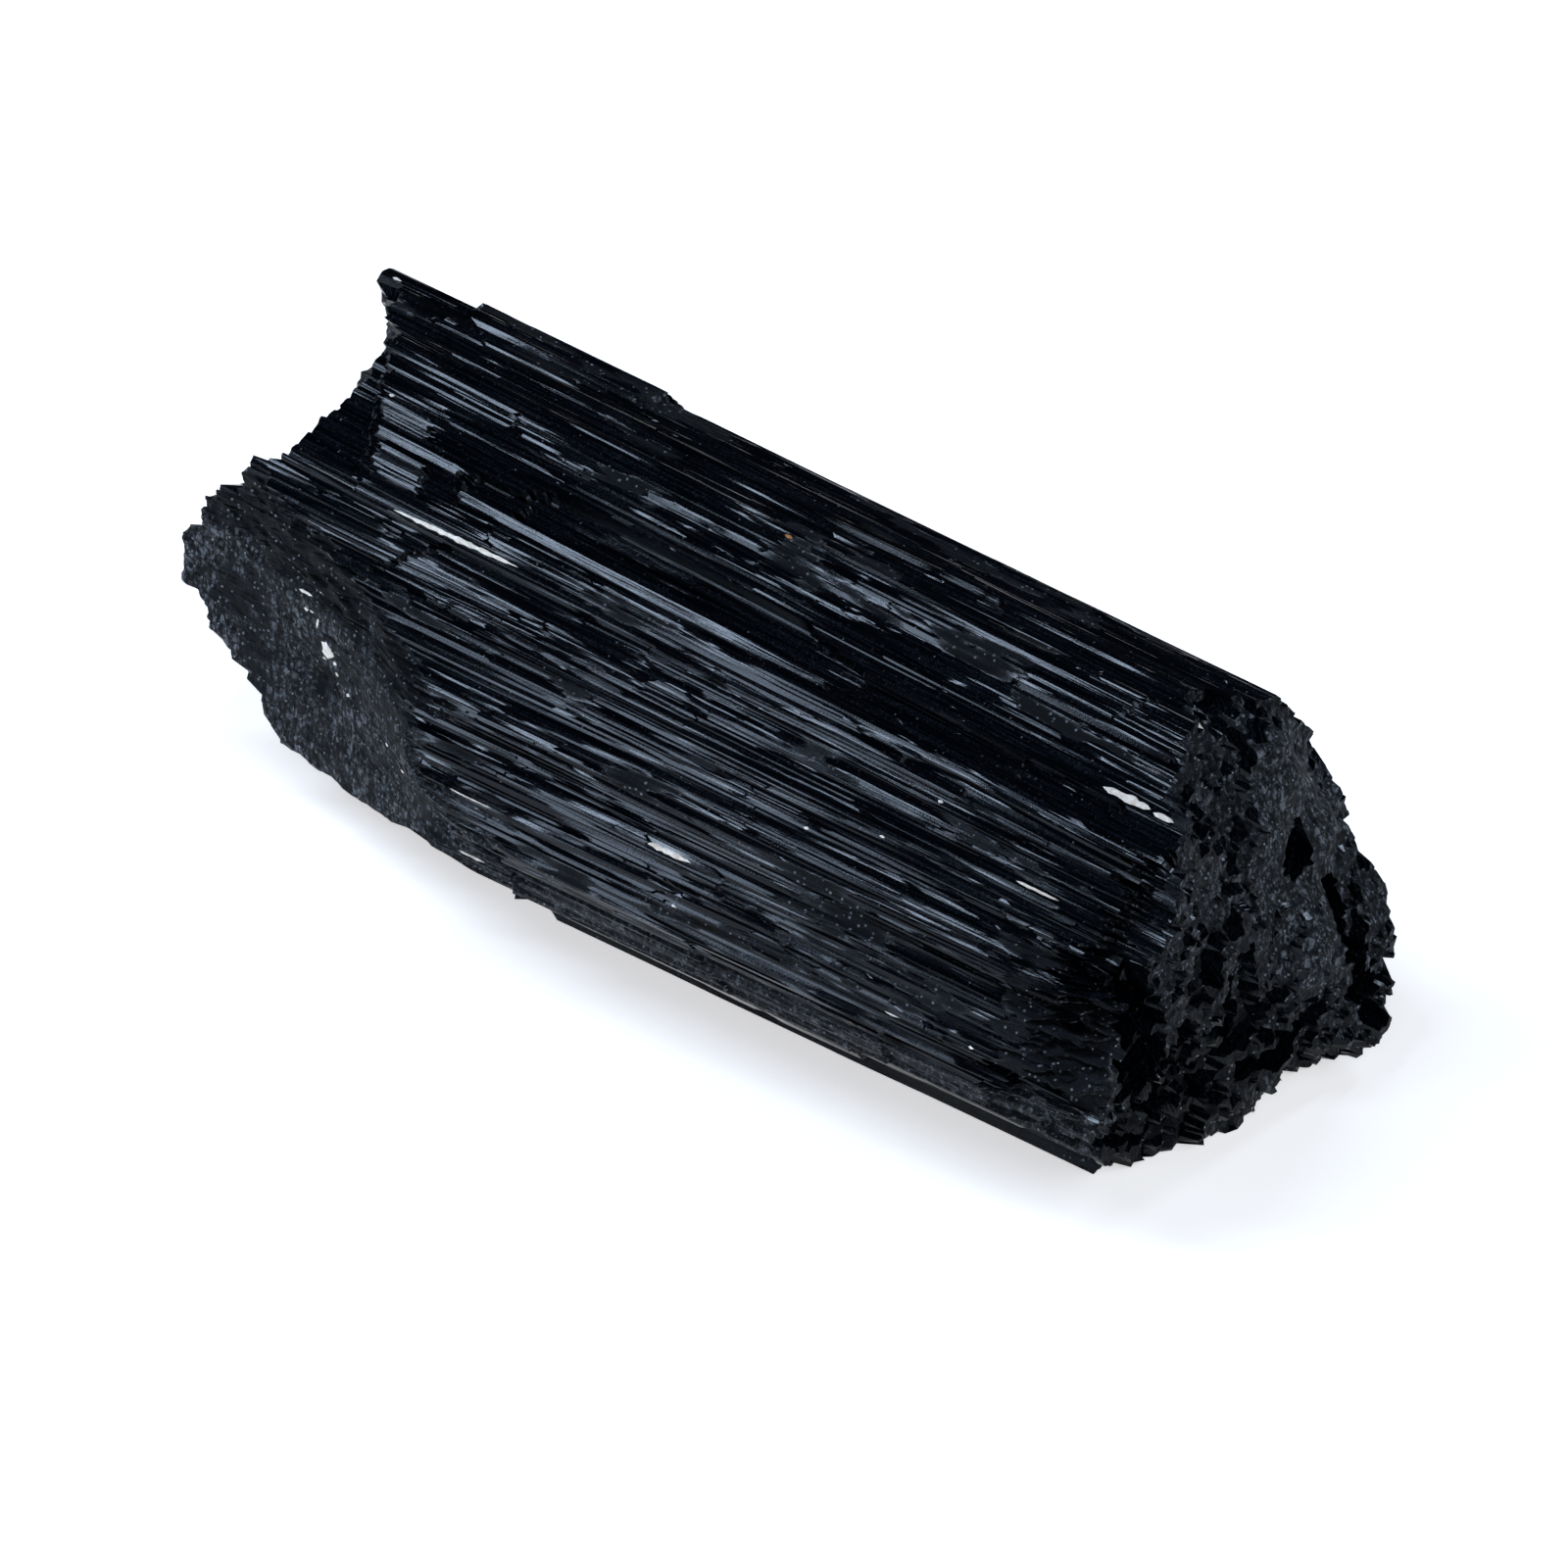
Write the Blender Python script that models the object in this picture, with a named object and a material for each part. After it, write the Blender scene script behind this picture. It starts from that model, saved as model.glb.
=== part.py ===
"""A broken prism of black tourmaline (schorl), lying on one of its long faces.

The crystal grew as one piece, so the model is one closed solid. Its axis runs along X, the striated
near side looks towards -Y, and it rests on the flat prism face at z = 0. Sizes are in millimetres
and are turned into metres when the mesh is made.
"""

import random

import bmesh
import bpy
import numpy as np
from mathutils import geometry
from mathutils import noise

MM = 0.001
NODE_NAME = "tourmaline_crystal"

# Cross-section half way along the crystal: girth, across (y) and height (z), clockwise seen from +X.
SECTION = np.array([
    (0.0, -8.5, 0.0),
    (7.1, -13.4, 5.0),
    (12.2, -14.9, 9.6),
    (20.0, -12.5, 16.8),
    (29.1, -6.0, 23.2),
    (38.1, 2.5, 26.0),
    (45.2, 9.5, 24.5),
    (53.2, 13.8, 17.8),
    (61.6, 14.8, 9.5),
    (70.7, 10.0, 1.8),
    (73.7, 7.5, 0.0),
    (89.7, -8.5, 0.0),
])
GIRTH = SECTION[-1, 0]
FLOOR_FACE = (73.7, 89.7)      # girths between which the crystal rests
ORIGIN_X = -1.5                # x, in the tables below, of the middle of the crystal's box
CORE_HEIGHT = 12.6             # height of the line that the girth lines are spread around
MID_SCALE = 1.008              # size of the section at x = 0 ...
TAPER = 0.0008                 # ... and what it loses for each millimetre towards +X

# Planes that cut the prism, each as an outward normal and a point on it. The dull cleaved face takes
# the lower left of the near side, and the crystal is broken back underneath it.
CLEAVED = ((-0.326, -1.0, 0.056), (-28.0, -9.95, 0.0))
CLEAVED_BOW = 0.137            # the cleaved face flattens to the left of its point, by this slope
CLEAVED_RADIUS = 3.0           # over this length
CLEAVED_RISE = 0.6             # the upper part of that face stands out by this much,
CLEAVED_SHOULDER = (-16.0, 12.5, 5.5, 4.0, 1.8)   # and a shoulder at this x and height by the last
UNDERCUT = ((-0.17, -0.93, -1.0), (-10.0, -14.0, 4.85))
# the undercut isn't flat: x, and how far out it stands there
UNDERCUT_STEPS = ((-22.0, 0.3), (-18.0, -0.2), (-11.3, -0.3), (-10.7, 0.8), (-6.0, 1.3))
FLOOR = ((0.0, 0.0, -1.0), (0.0, 0.0, 0.0))

# Broken ends: how far along X each end reaches, at places (across, height) of the section.
LEFT_END = np.array([
    (9.5, 25.2, -37.4), (6.4, 26.0, -34.2), (1.6, 26.6, -31.2), (-2.1, 25.2, -31.4),
    (-6.5, 23.3, -32.0), (-7.9, 21.3, -34.4), (-8.3, 17.5, -37.9), (-8.2, 14.8, -39.6),
    (-8.8, 12.8, -40.4), (-9.4, 11.2, -38.2), (-10.1, 9.8, -36.4), (-10.7, 8.2, -34.8),
    (-11.5, 6.9, -32.8), (-12.2, 6.0, -28.8), (-6.0, 1.0, -26.0), (0.0, 0.5, -31.0),
    (7.5, 0.5, -34.5), (13.5, 7.0, -36.5), (14.0, 13.0, -36.0), (12.5, 19.0, -37.0),
    (0.0, 13.0, -34.5), (-3.0, 18.0, -33.0), (6.0, 8.0, -33.5), (-5.0, 12.0, -35.5),
])
RIGHT_END = np.array([
    (2.5, 25.6, 27.4), (6.0, 24.8, 24.4), (9.5, 24.0, 28.4), (-0.5, 24.6, 28.4), (7.5, 22.0, 30.0),
    (3.6, 22.6, 26.6), (2.8, 20.2, 28.4), (8.0, 18.5, 30.6), (5.6, 17.0, 31.2), (10.0, 14.0, 31.8),
    (11.8, 20.8, 28.6), (13.8, 17.8, 28.0), (14.3, 13.5, 30.0), (14.45, 12.0, 31.0), (14.7, 9.2, 33.4),
    (13.8, 6.5, 35.0), (10.6, 3.0, 36.4),
    (9.2, 1.0, 35.8), (8.1, 0.4, 32.6), (5.5, 0.2, 31.6), (3.0, 0.2, 32.2), (0.0, 0.2, 33.0),
    (-4.0, 0.2, 31.4), (-8.3, 0.4, 29.0), (-13.0, 5.0, 32.0), (-14.4, 9.5, 32.8), (-12.3, 16.0, 32.6),
    (-3.5, 23.6, 31.6), (-8.0, 20.6, 33.6), (0.0, 13.0, 33.2), (-7.0, 12.0, 33.2), (7.0, 9.0, 34.4),
    (-1.5, 20.0, 31.8), (3.0, 4.0, 34.2),
])
# Hollows in each end: across and height of both ends of the hollow, its radius and its depth.
LEFT_HOLLOWS = [
    (3.0, 20.0, 5.5, 22.0, 1.6, 1.8),
    (-4.5, 9.0, -3.0, 5.5, 1.7, 2.0),
    (9.0, 12.0, 9.5, 16.0, 1.4, 1.6),
]
RIGHT_HOLLOWS = [
    (-9.5, 10.3, -9.5, 16.5, 1.8, 4.5),
    (-6.0, 4.2, -6.0, 9.6, 1.5, 5.5),
    (-0.4, 7.0, -0.4, 12.6, 1.0, 3.5),
    (0.8, 4.3, 4.6, 4.3, 1.3, 3.6),
    (9.9, 3.9, 9.9, 11.5, 0.9, 3.5),
    (7.6, 13.9, 7.6, 15.3, 1.0, 2.6),
]
BLOCK_SIZE = 2.9               # width of the blocks that the ends broke into
BLOCK_STEP = 1.6               # how far one block may stand before another
BLOCK_WALL = 0.12              # half the width of the wall between two blocks

# Ledges, plates and losses on the prism faces: girth from and to, x of the left edge at both
# girths, x of the right edge at both girths, and height above the plain face at both girths.
NEAR_SIDE = [
    (0.0, 7.1, (-60, -60), (60, 60), (-0.45, -0.6)),
    (0.0, 7.1, (12.0, 14.0), (60, 60), (-0.3, -0.3)),
    (7.1, 12.2, (-60, -60), (-9.5, -9.8), (-0.75, -0.2)),
    (7.1, 12.2, (-9.5, -9.8), (60, 60), (-0.35, 0.0)),
    (7.1, 12.2, (6.0, 4.0), (60, 60), (-0.3, -0.1)),
    (7.1, 12.2, (17.0, 18.0), (60, 60), (-0.35, -0.15)),
    (7.1, 12.2, (24.0, 25.0), (60, 60), (-0.35, -0.1)),
    (12.2, 13.8, (-60, -60), (60, 60), (-0.1, -0.3)),
    (14.0, 17.6, (-60, -60), (60, 60), (0.25, 0.15)),
    (15.8, 17.6, (-18.2, -17.4), (6.0, 5.4), (0.25, 0.2)),
    (17.6, 19.0, (-60, -60), (60, 60), (-0.4, -0.3)),
    (19.0, 21.4, (-60, -60), (60, 60), (0.15, 0.3)),
    (21.4, 24.2, (-60, -60), (27.0, 28.0), (-0.05, 0.05)),
    (24.2, 27.6, (-24.0, -20.0), (60, 60), (-0.35, -0.45)),
    (27.6, 29.8, (-60, -60), (60, 60), (0.1, 0.05)),
    (29.8, 31.1, (-20.5, -20.0), (29.0, 29.0), (0.4, 0.55)),
    (31.1, 33.3, (-22.5, -18.5), (26.0, 28.0), (-1.05, -0.55)),
    (33.3, 35.2, (-17.0, -14.0), (60, 60), (0.05, 0.2)),
    (35.2, 36.6, (-11.0, -10.5), (28.0, 27.6), (0.5, 0.35)),
    (36.6, 39.4, (-60, -60), (23.0, 24.0), (0.1, 0.25)),
    (39.4, 41.2, (-60, -60), (60, 60), (-0.3, -0.15)),
    (41.2, 43.0, (-27.0, -29.0), (12.0, 6.0), (0.15, 0.2)),
    (43.0, 47.4, (-30.0, -31.0), (-17.0, -16.0), (0.45, 0.5)),
    # the thin plate at the upper left, and the lower ground that it leaves bare up to the rim
    (30.2, 33.3, (-26.7, -28.7), (-24.0, -22.6), (0.35, 0.3)),
    (28.0, 38.4, (-60, -60), (-26.9, -31.9), (-0.45, -0.35)),
    # terraces where the striated skin stops short of the right end
    (9.0, 14.0, (24.2, 27.0), (60, 60), (-1.2, -1.1)),
    (14.0, 19.0, (28.0, 28.7), (60, 60), (-1.3, -1.2)),
    (19.0, 24.2, (28.9, 29.6), (60, 60), (-1.1, -0.9)),
    (24.2, 31.1, (29.9, 31.2), (60, 60), (-0.8, -0.7)),
    (14.0, 21.4, (30.6, 30.2), (60, 60), (-1.4, -1.2)),
]
FAR_RIB = (1.3, 3.1)           # least and greatest width of the ribs on the hidden faces,
FAR_STAND = 0.4                # how much their edges stand in and out,
FAR_LEDGE = 0.55               # and the most that a rib loses or gains where it is broken
RESTING_LOSS = 0.35            # depth of the shallow channels in the face that it rests on

STEP_WIDTH = 0.07              # half the width, along the girth or along X, of a ledge's wall
LINE_PITCH = 1.9               # widest gap between girth lines
STATIONS = 38                  # points along each girth line
END_PITCH = 0.9                # spacing of the points on the broken ends
END_MARGIN = 0.5               # and their least distance from the rim


def in_metres(x, across, height):
    """A point of the tables' frame as a place in the part's frame."""
    return (x - ORIGIN_X) * MM, across * MM, height * MM


def section_point(girth):
    """Across and height of the plain section at each girth."""
    across = np.interp(girth, SECTION[:, 0], SECTION[:, 1])
    height = np.interp(girth, SECTION[:, 0], SECTION[:, 2])
    return across, height


def far_side_ribs(rng):
    """Ribs of random width on the faces that NEAR_SIDE doesn't reach."""
    whole = ((-60.0, -60.0), (60.0, 60.0))
    ribs = []
    start = 47.4
    while start < FLOOR_FACE[0] - FAR_RIB[0]:
        stop = min(start + rng.uniform(*FAR_RIB), FLOOR_FACE[0] - 0.3)
        ribs.append((start, stop, *whole, [rng.uniform(-FAR_STAND, FAR_STAND) for _ in range(2)]))
        left = rng.uniform(-30.0, 10.0)
        right = rng.choice([60.0, left + rng.uniform(8.0, 30.0)])
        skew = rng.uniform(-1.5, 1.5)
        stand = rng.uniform(-FAR_LEDGE, FAR_LEDGE)
        ribs.append((start, stop, (left, left + skew), (right, right + skew), (stand, stand)))
        start = stop
    start = FLOOR_FACE[0] + 1.2
    while start < FLOOR_FACE[1] - 2.0:
        stop = start + rng.uniform(0.7, 1.4)
        left = rng.uniform(-60.0, 0.0)
        ribs.append((start, stop, (left, left + 1.0), whole[1], (-RESTING_LOSS, -RESTING_LOSS)))
        start = stop + rng.uniform(1.6, 3.4)
    return ribs


def relief(x, girth, patches):
    """Height of the surface above the plain prism face."""
    height = np.zeros(np.broadcast(x, girth).shape)
    for low, high, left, right, stand in patches:
        t = (girth - low) / (high - low)
        start = left[0] + (left[1] - left[0]) * t
        stop = right[0] + (right[1] - right[0]) * t
        inside = (t > 0.0) & (t < 1.0) & (x > start) & (x < stop)
        height = height + inside * (stand[0] + (stand[1] - stand[0]) * t)
    return height


def cut_limit(x, core, out_y, out_z, cut, bow=0.0):
    """Furthest that a ray from the core line reaches before it meets a cutting plane."""
    normal, point = cut
    room = normal[0] * (point[0] - x) + normal[1] * point[1] + normal[2] * (point[2] - core) + bow
    facing = normal[1] * out_y + normal[2] * out_z
    return np.where(facing > 0.05, room / np.maximum(facing, 0.05), np.inf)


def smooth_step(t):
    t = np.clip(t, 0.0, 1.0)
    return t * t * (3.0 - 2.0 * t)


def cleaved_shoulder(x, height):
    """How far the cleaved face stands out before its plane towards its upper and right edges."""
    rise = CLEAVED_RISE * smooth_step((x + 34.0) / 4.0) * smooth_step((height - 11.0) / 6.0)
    x0, z0, x_wide, z_wide, most = CLEAVED_SHOULDER
    return rise + most * np.exp(-((x - x0) / x_wide) ** 2 - ((height - z0) / z_wide) ** 2)


def surface(x, girth, patches):
    """Across and height of the crystal's side at each x and girth."""
    scale = MID_SCALE - TAPER * x
    core = scale * CORE_HEIGHT
    across, height = section_point(girth)
    reach = np.hypot(across, height - CORE_HEIGHT)
    out_y = across / reach
    out_z = (height - CORE_HEIGHT) / reach
    from_bow = x - CLEAVED[1][0]
    bow = CLEAVED_BOW * (np.hypot(from_bow, CLEAVED_RADIUS) - CLEAVED_RADIUS - from_bow)
    skin = scale * reach + relief(x, girth, patches)
    radius = np.minimum.reduce([
        skin,
        cut_limit(x, core, out_y, out_z, CLEAVED, bow + cleaved_shoulder(x, core + out_z * skin)),
        cut_limit(x, core, out_y, out_z, UNDERCUT, np.interp(x, *zip(*UNDERCUT_STEPS))),
        cut_limit(x, core, out_y, out_z, FLOOR),
    ])
    return out_y * radius, core + out_z * radius


def block_centres(rng):
    """Places of the blocks on a broken end, each with its own set-back."""
    centres = []
    for row in range(-6, 6):
        for column in range(-1, 10):
            across = (row + rng.uniform(0.15, 0.85)) * BLOCK_SIZE
            height = (column + rng.uniform(0.15, 0.85)) * BLOCK_SIZE
            centres.append((across, height, rng.uniform(-0.5, 0.5) * BLOCK_STEP))
    return np.array(centres)


def hollow_depth(place, hollows):
    """Depth of the hollows at each place of an end, steep-sided and flat in the middle."""
    depth = np.zeros(len(place))
    for y0, z0, y1, z1, radius, deep in hollows:
        run = np.array([y1 - y0, z1 - z0])
        along = np.clip((place - (y0, z0)) @ run / (run @ run), 0.0, 1.0)
        apart = np.linalg.norm(place - (y0, z0) - along[:, None] * run, axis=1)
        depth = np.maximum(depth, deep * np.clip(1.6 * (1.0 - apart / radius), 0.0, 1.0))
    return depth


def end_reach(across, height, end):
    """How far along X a broken end reaches at each place of the section."""
    guide, blocks, hollows, outward = end
    place = np.stack([np.ravel(across), np.ravel(height)], axis=1)
    apart = np.linalg.norm(place[:, None, :] - guide[None, :, :2], axis=2)
    weight = 1.0 / (apart ** 3 + 0.6)
    smooth = (weight * guide[:, 2]).sum(axis=1) / weight.sum(axis=1)
    # blocks next to the rim keep nearer to the guide than those in the middle
    inside = np.clip(apart.min(axis=1) / 3.0, 0.25, 1.0)
    nearest = np.linalg.norm(place[:, None, :] - blocks[None, :, :2], axis=2).argmin(axis=1)
    rough = [0.3 * noise.noise((y * 0.9, z * 0.9, outward)) for y, z in place]
    steps = blocks[nearest, 2] * inside + rough
    reach = smooth + steps - outward * hollow_depth(place, hollows)
    return reach.reshape(np.shape(across))


def towards_wall(place, blocks):
    """A place moved up to the wall of its block, if it is near one."""
    apart = np.linalg.norm(blocks[:, :2] - place, axis=1)
    own, other = apart.argsort()[:2]
    between = blocks[other, :2] - blocks[own, :2]
    width = np.linalg.norm(between)
    room = (apart[other] ** 2 - apart[own] ** 2) / (2.0 * width)
    if room > 0.5 * END_PITCH:
        return place
    return place + between / width * (room - BLOCK_WALL)


def girth_lines(patches):
    """Girths of the lines along the crystal: a pair at each ledge, a line at each corner, and fill."""
    wanted = {round(float(g), 3) for g in SECTION[:-1, 0]}
    for low, high, *_ in patches:
        for edge in (low, high):
            wanted.update(round((edge + side * STEP_WIDTH) % GIRTH, 3) for side in (-1, 1))
    wanted = sorted(wanted)
    lines = [wanted[0]]
    for girth in wanted[1:]:
        if girth - lines[-1] > 0.09:
            lines.append(girth)
    filled = []
    for here, after in zip(lines, lines[1:] + [GIRTH]):
        steps = max(1, int(np.ceil((after - here) / LINE_PITCH)))
        filled += [here + (after - here) * k / steps for k in range(steps)]
    return np.array(filled)


def line_stations(girth, start, stop, patches, rng):
    """Stations along one girth line, with a pair where the line crosses the end of a ledge."""
    share = (np.arange(STATIONS) + rng.uniform(-0.2, 0.2, STATIONS)) / (STATIONS - 1)
    share[0], share[-1] = 0.0, 1.0
    stations = start + (stop - start) * share
    taken = {0, STATIONS - 1}
    for low, high, left, right, _ in patches:
        t = (girth - low) / (high - low)
        if not 0.0 < t < 1.0:
            continue
        for edge in (left, right):
            crossing = edge[0] + (edge[1] - edge[0]) * t
            near = int(np.abs(stations - crossing).argmin())
            pair = (near, near + 1) if stations[near] < crossing else (near - 1, near)
            inside = start + 0.4 < crossing < stop - 0.4
            if inside and not taken & set(pair):
                stations[pair[0]] = crossing - STEP_WIDTH
                stations[pair[1]] = crossing + STEP_WIDTH
                taken.update(pair)
    return np.sort(stations)


def inside_rim(across, height, rim):
    """Whether a place is inside the rim by more than END_MARGIN."""
    ends = np.roll(rim, -1, axis=0)
    crosses = (rim[:, 1] > height) != (ends[:, 1] > height)
    rise = np.where(ends[:, 1] == rim[:, 1], 1.0, ends[:, 1] - rim[:, 1])
    at = rim[:, 0] + (height - rim[:, 1]) / rise * (ends[:, 0] - rim[:, 0])
    gap = np.hypot(rim[:, 0] - across, rim[:, 1] - height).min()
    return bool((crosses & (at > across)).sum() % 2) and gap > END_MARGIN


def cap_faces(mesh, rim_verts, end, rng):
    """Close one end of the crystal with its broken surface."""
    rim = np.array([(v.co.y, v.co.z) for v in rim_verts]) / MM
    inner = []
    for across in np.arange(-16.0, 16.0, END_PITCH):
        for height in np.arange(0.5, 28.0, END_PITCH):
            place = np.array([across, height]) + rng.uniform(-0.4, 0.4, 2)
            place = towards_wall(place, end[1])
            crowded = inner and np.hypot(*(np.array(inner) - place).T).min() < BLOCK_WALL * 1.8
            if inside_rim(*place, rim) and not crowded:
                inner.append(place)
    inner = np.array(inner)
    reach = end_reach(inner[:, 0], inner[:, 1], end)
    verts = list(rim_verts)
    for (across, height), x in zip(inner, reach):
        verts.append(mesh.verts.new(in_metres(x, across, height)))
    places = [tuple(place) for place in np.vstack([rim, inner])]
    edges = [(k, (k + 1) % len(rim)) for k in range(len(rim))]
    made = geometry.delaunay_2d_cdt(places, edges, [], 1, 1e-6)
    for face in made[2]:
        mesh.faces.new([verts[made[3][corner][0]] for corner in face])


def build_mesh():
    """The whole crystal as one closed mesh."""
    rng = np.random.default_rng(11)
    patches = NEAR_SIDE + far_side_ribs(random.Random(4))
    left = (LEFT_END, block_centres(random.Random(7)), LEFT_HOLLOWS, -1.0)
    right = (RIGHT_END, block_centres(random.Random(8)), RIGHT_HOLLOWS, 1.0)
    girths = girth_lines(patches)

    start = np.full(len(girths), -34.0)
    stop = np.full(len(girths), 31.0)
    for _ in range(4):
        start = 0.5 * (start + end_reach(*surface(start, girths, patches), left))
        stop = 0.5 * (stop + end_reach(*surface(stop, girths, patches), right))

    mesh = bmesh.new()
    rows = []
    for girth, first, last in zip(girths, start, stop):
        stations = line_stations(girth, first, last, patches, rng)
        across, height = surface(stations, np.full(STATIONS, girth), patches)
        points = zip(stations, across, height)
        rows.append([mesh.verts.new(in_metres(*point)) for point in points])
    for row, after in zip(rows, rows[1:] + rows[:1]):
        for k in range(STATIONS - 1):
            mesh.faces.new((row[k], row[k + 1], after[k + 1], after[k]))
    cap_faces(mesh, [row[0] for row in rows], left, rng)
    cap_faces(mesh, [row[-1] for row in rows], right, rng)
    bmesh.ops.triangulate(mesh, faces=mesh.faces[:])
    bmesh.ops.recalc_face_normals(mesh, faces=mesh.faces[:])
    return mesh


def stone_material():
    """Black tourmaline: near-black, glassy on the prism faces."""
    material = bpy.data.materials.new("black_tourmaline")
    material.use_nodes = True
    shader = material.node_tree.nodes["Principled BSDF"]
    shader.inputs["Base Color"].default_value = (0.006, 0.007, 0.010, 1.0)
    shader.inputs["Roughness"].default_value = 0.3
    shader.inputs["Metallic"].default_value = 0.0
    shader.inputs["IOR"].default_value = 1.64
    return material


def main():
    for item in list(bpy.data.objects):
        bpy.data.objects.remove(item)
    data = bpy.data.meshes.new(NODE_NAME)
    mesh = build_mesh()
    mesh.to_mesh(data)
    mesh.free()
    crystal = bpy.data.objects.new(NODE_NAME, data)
    crystal.data.materials.append(stone_material())
    bpy.context.scene.collection.objects.link(crystal)


main()
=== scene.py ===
"""A broken prism of black tourmaline: fine striae, chipped plates, blocky ends and pale grains.

The solid gives the main shape. This script builds the same prism again, with the small relief that the
solid leaves out, and puts it in the solid's place. Section, cut planes and ends are the solid's own. The
ledges of the near side stand where the solid has them; some are divided more finely, or stand a little
higher or lower.
"""

import math
import random

import bmesh
import bpy
import numpy as np
from mathutils import Matrix
from mathutils import Vector
from mathutils import geometry
from mathutils import noise
from mathutils.bvhtree import BVHTree
from mathutils.kdtree import KDTree


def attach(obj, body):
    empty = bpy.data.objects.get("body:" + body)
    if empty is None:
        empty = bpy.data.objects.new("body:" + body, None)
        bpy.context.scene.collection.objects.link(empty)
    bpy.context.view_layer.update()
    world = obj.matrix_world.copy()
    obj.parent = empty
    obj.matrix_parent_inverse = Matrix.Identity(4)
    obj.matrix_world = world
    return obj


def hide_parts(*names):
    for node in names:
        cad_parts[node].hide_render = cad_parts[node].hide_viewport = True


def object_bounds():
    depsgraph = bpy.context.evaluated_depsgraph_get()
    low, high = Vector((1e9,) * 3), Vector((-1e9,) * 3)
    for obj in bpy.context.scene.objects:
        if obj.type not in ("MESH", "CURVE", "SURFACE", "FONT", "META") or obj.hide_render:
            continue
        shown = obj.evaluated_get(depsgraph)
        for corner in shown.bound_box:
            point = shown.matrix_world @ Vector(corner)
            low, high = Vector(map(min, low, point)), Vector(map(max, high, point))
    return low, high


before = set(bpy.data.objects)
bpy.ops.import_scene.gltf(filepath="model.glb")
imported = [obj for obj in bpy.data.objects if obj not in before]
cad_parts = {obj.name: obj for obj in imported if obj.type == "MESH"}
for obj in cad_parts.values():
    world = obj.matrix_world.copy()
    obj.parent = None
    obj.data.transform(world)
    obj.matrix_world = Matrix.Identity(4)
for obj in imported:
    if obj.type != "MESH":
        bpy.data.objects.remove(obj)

CAD_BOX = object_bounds()
BOX_MARGIN = (0.03, 0.01, 0.0)  # mm kept to the solid's box
MM = 0.001
NODE = "tourmaline_crystal"

# -------------------- the prism, as in the solid (mm)

# Cross-section half way along the crystal: girth, across (y) and height (z), clockwise seen from +X.
SECTION = np.array([
    (0.0, -8.5, 0.0),
    (7.1, -13.4, 5.0),
    (12.2, -14.9, 9.6),
    (20.0, -12.5, 16.8),
    (29.1, -6.0, 23.2),
    (38.1, 2.5, 26.0),
    (45.2, 9.5, 24.5),
    (53.2, 13.8, 17.8),
    (61.6, 14.8, 9.5),
    (70.7, 10.0, 1.8),
    (73.7, 7.5, 0.0),
    (89.7, -8.5, 0.0),
])
GIRTH = SECTION[-1, 0]
FLOOR_FACE = (73.7, 89.7)  # girths between which the crystal rests
ORIGIN_X = -1.5            # x, in the tables below, of the middle of the crystal's box
CORE_HEIGHT = 12.6         # height of the line that the girth lines are spread around
MID_SCALE = 1.008          # size of the section at x = 0 ...
TAPER = 0.0008             # ... and what it loses for each millimetre towards +X

# Planes that cut the prism, each as an outward normal and a point on it.
CLEAVED = ((-0.326, -1.0, 0.056), (-28.0, -9.95, 0.0))
CLEAVED_BOW = 0.137        # the cleaved face flattens to the left of its point, by this slope
CLEAVED_RADIUS = 3.0       # over this length
CLEAVED_RISE = 0.6         # the upper part of that face stands out by this much,
CLEAVED_SHOULDER = (-16.0, 12.5, 5.5, 4.0, 1.8)  # and a shoulder at this x and height by the last
UNDERCUT = ((-0.17, -0.93, -1.0), (-10.0, -14.0, 4.85))
# how far out the undercut's steps stand, at places along x
UNDERCUT_STEPS = ((-22.0, 0.3), (-18.0, -0.2), (-11.3, -0.3), (-10.7, 0.8), (-6.0, 1.3))
FLOOR = ((0.0, 0.0, -1.0), (0.0, 0.0, 0.0))

# Broken ends: how far along X each end reaches, at places (across, height) of the section.
LEFT_END = np.array([
    (9.5, 25.2, -37.4), (6.4, 26.0, -34.2), (1.6, 26.6, -31.2), (-2.1, 25.2, -31.4),
    (-6.5, 23.3, -32.0), (-7.9, 21.3, -34.4), (-8.3, 17.5, -37.9), (-8.2, 14.8, -39.6),
    (-8.8, 12.8, -40.4), (-9.4, 11.2, -38.2), (-10.1, 9.8, -36.4), (-10.7, 8.2, -34.8),
    (-11.5, 6.9, -32.8), (-12.2, 6.0, -28.8), (-6.0, 1.0, -26.0), (0.0, 0.5, -31.0),
    (7.5, 0.5, -34.5), (13.5, 7.0, -36.5), (14.0, 13.0, -36.0), (12.5, 19.0, -37.0),
    (0.0, 13.0, -34.5), (-3.0, 18.0, -33.0), (6.0, 8.0, -33.5), (-5.0, 12.0, -35.5),
])
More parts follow.
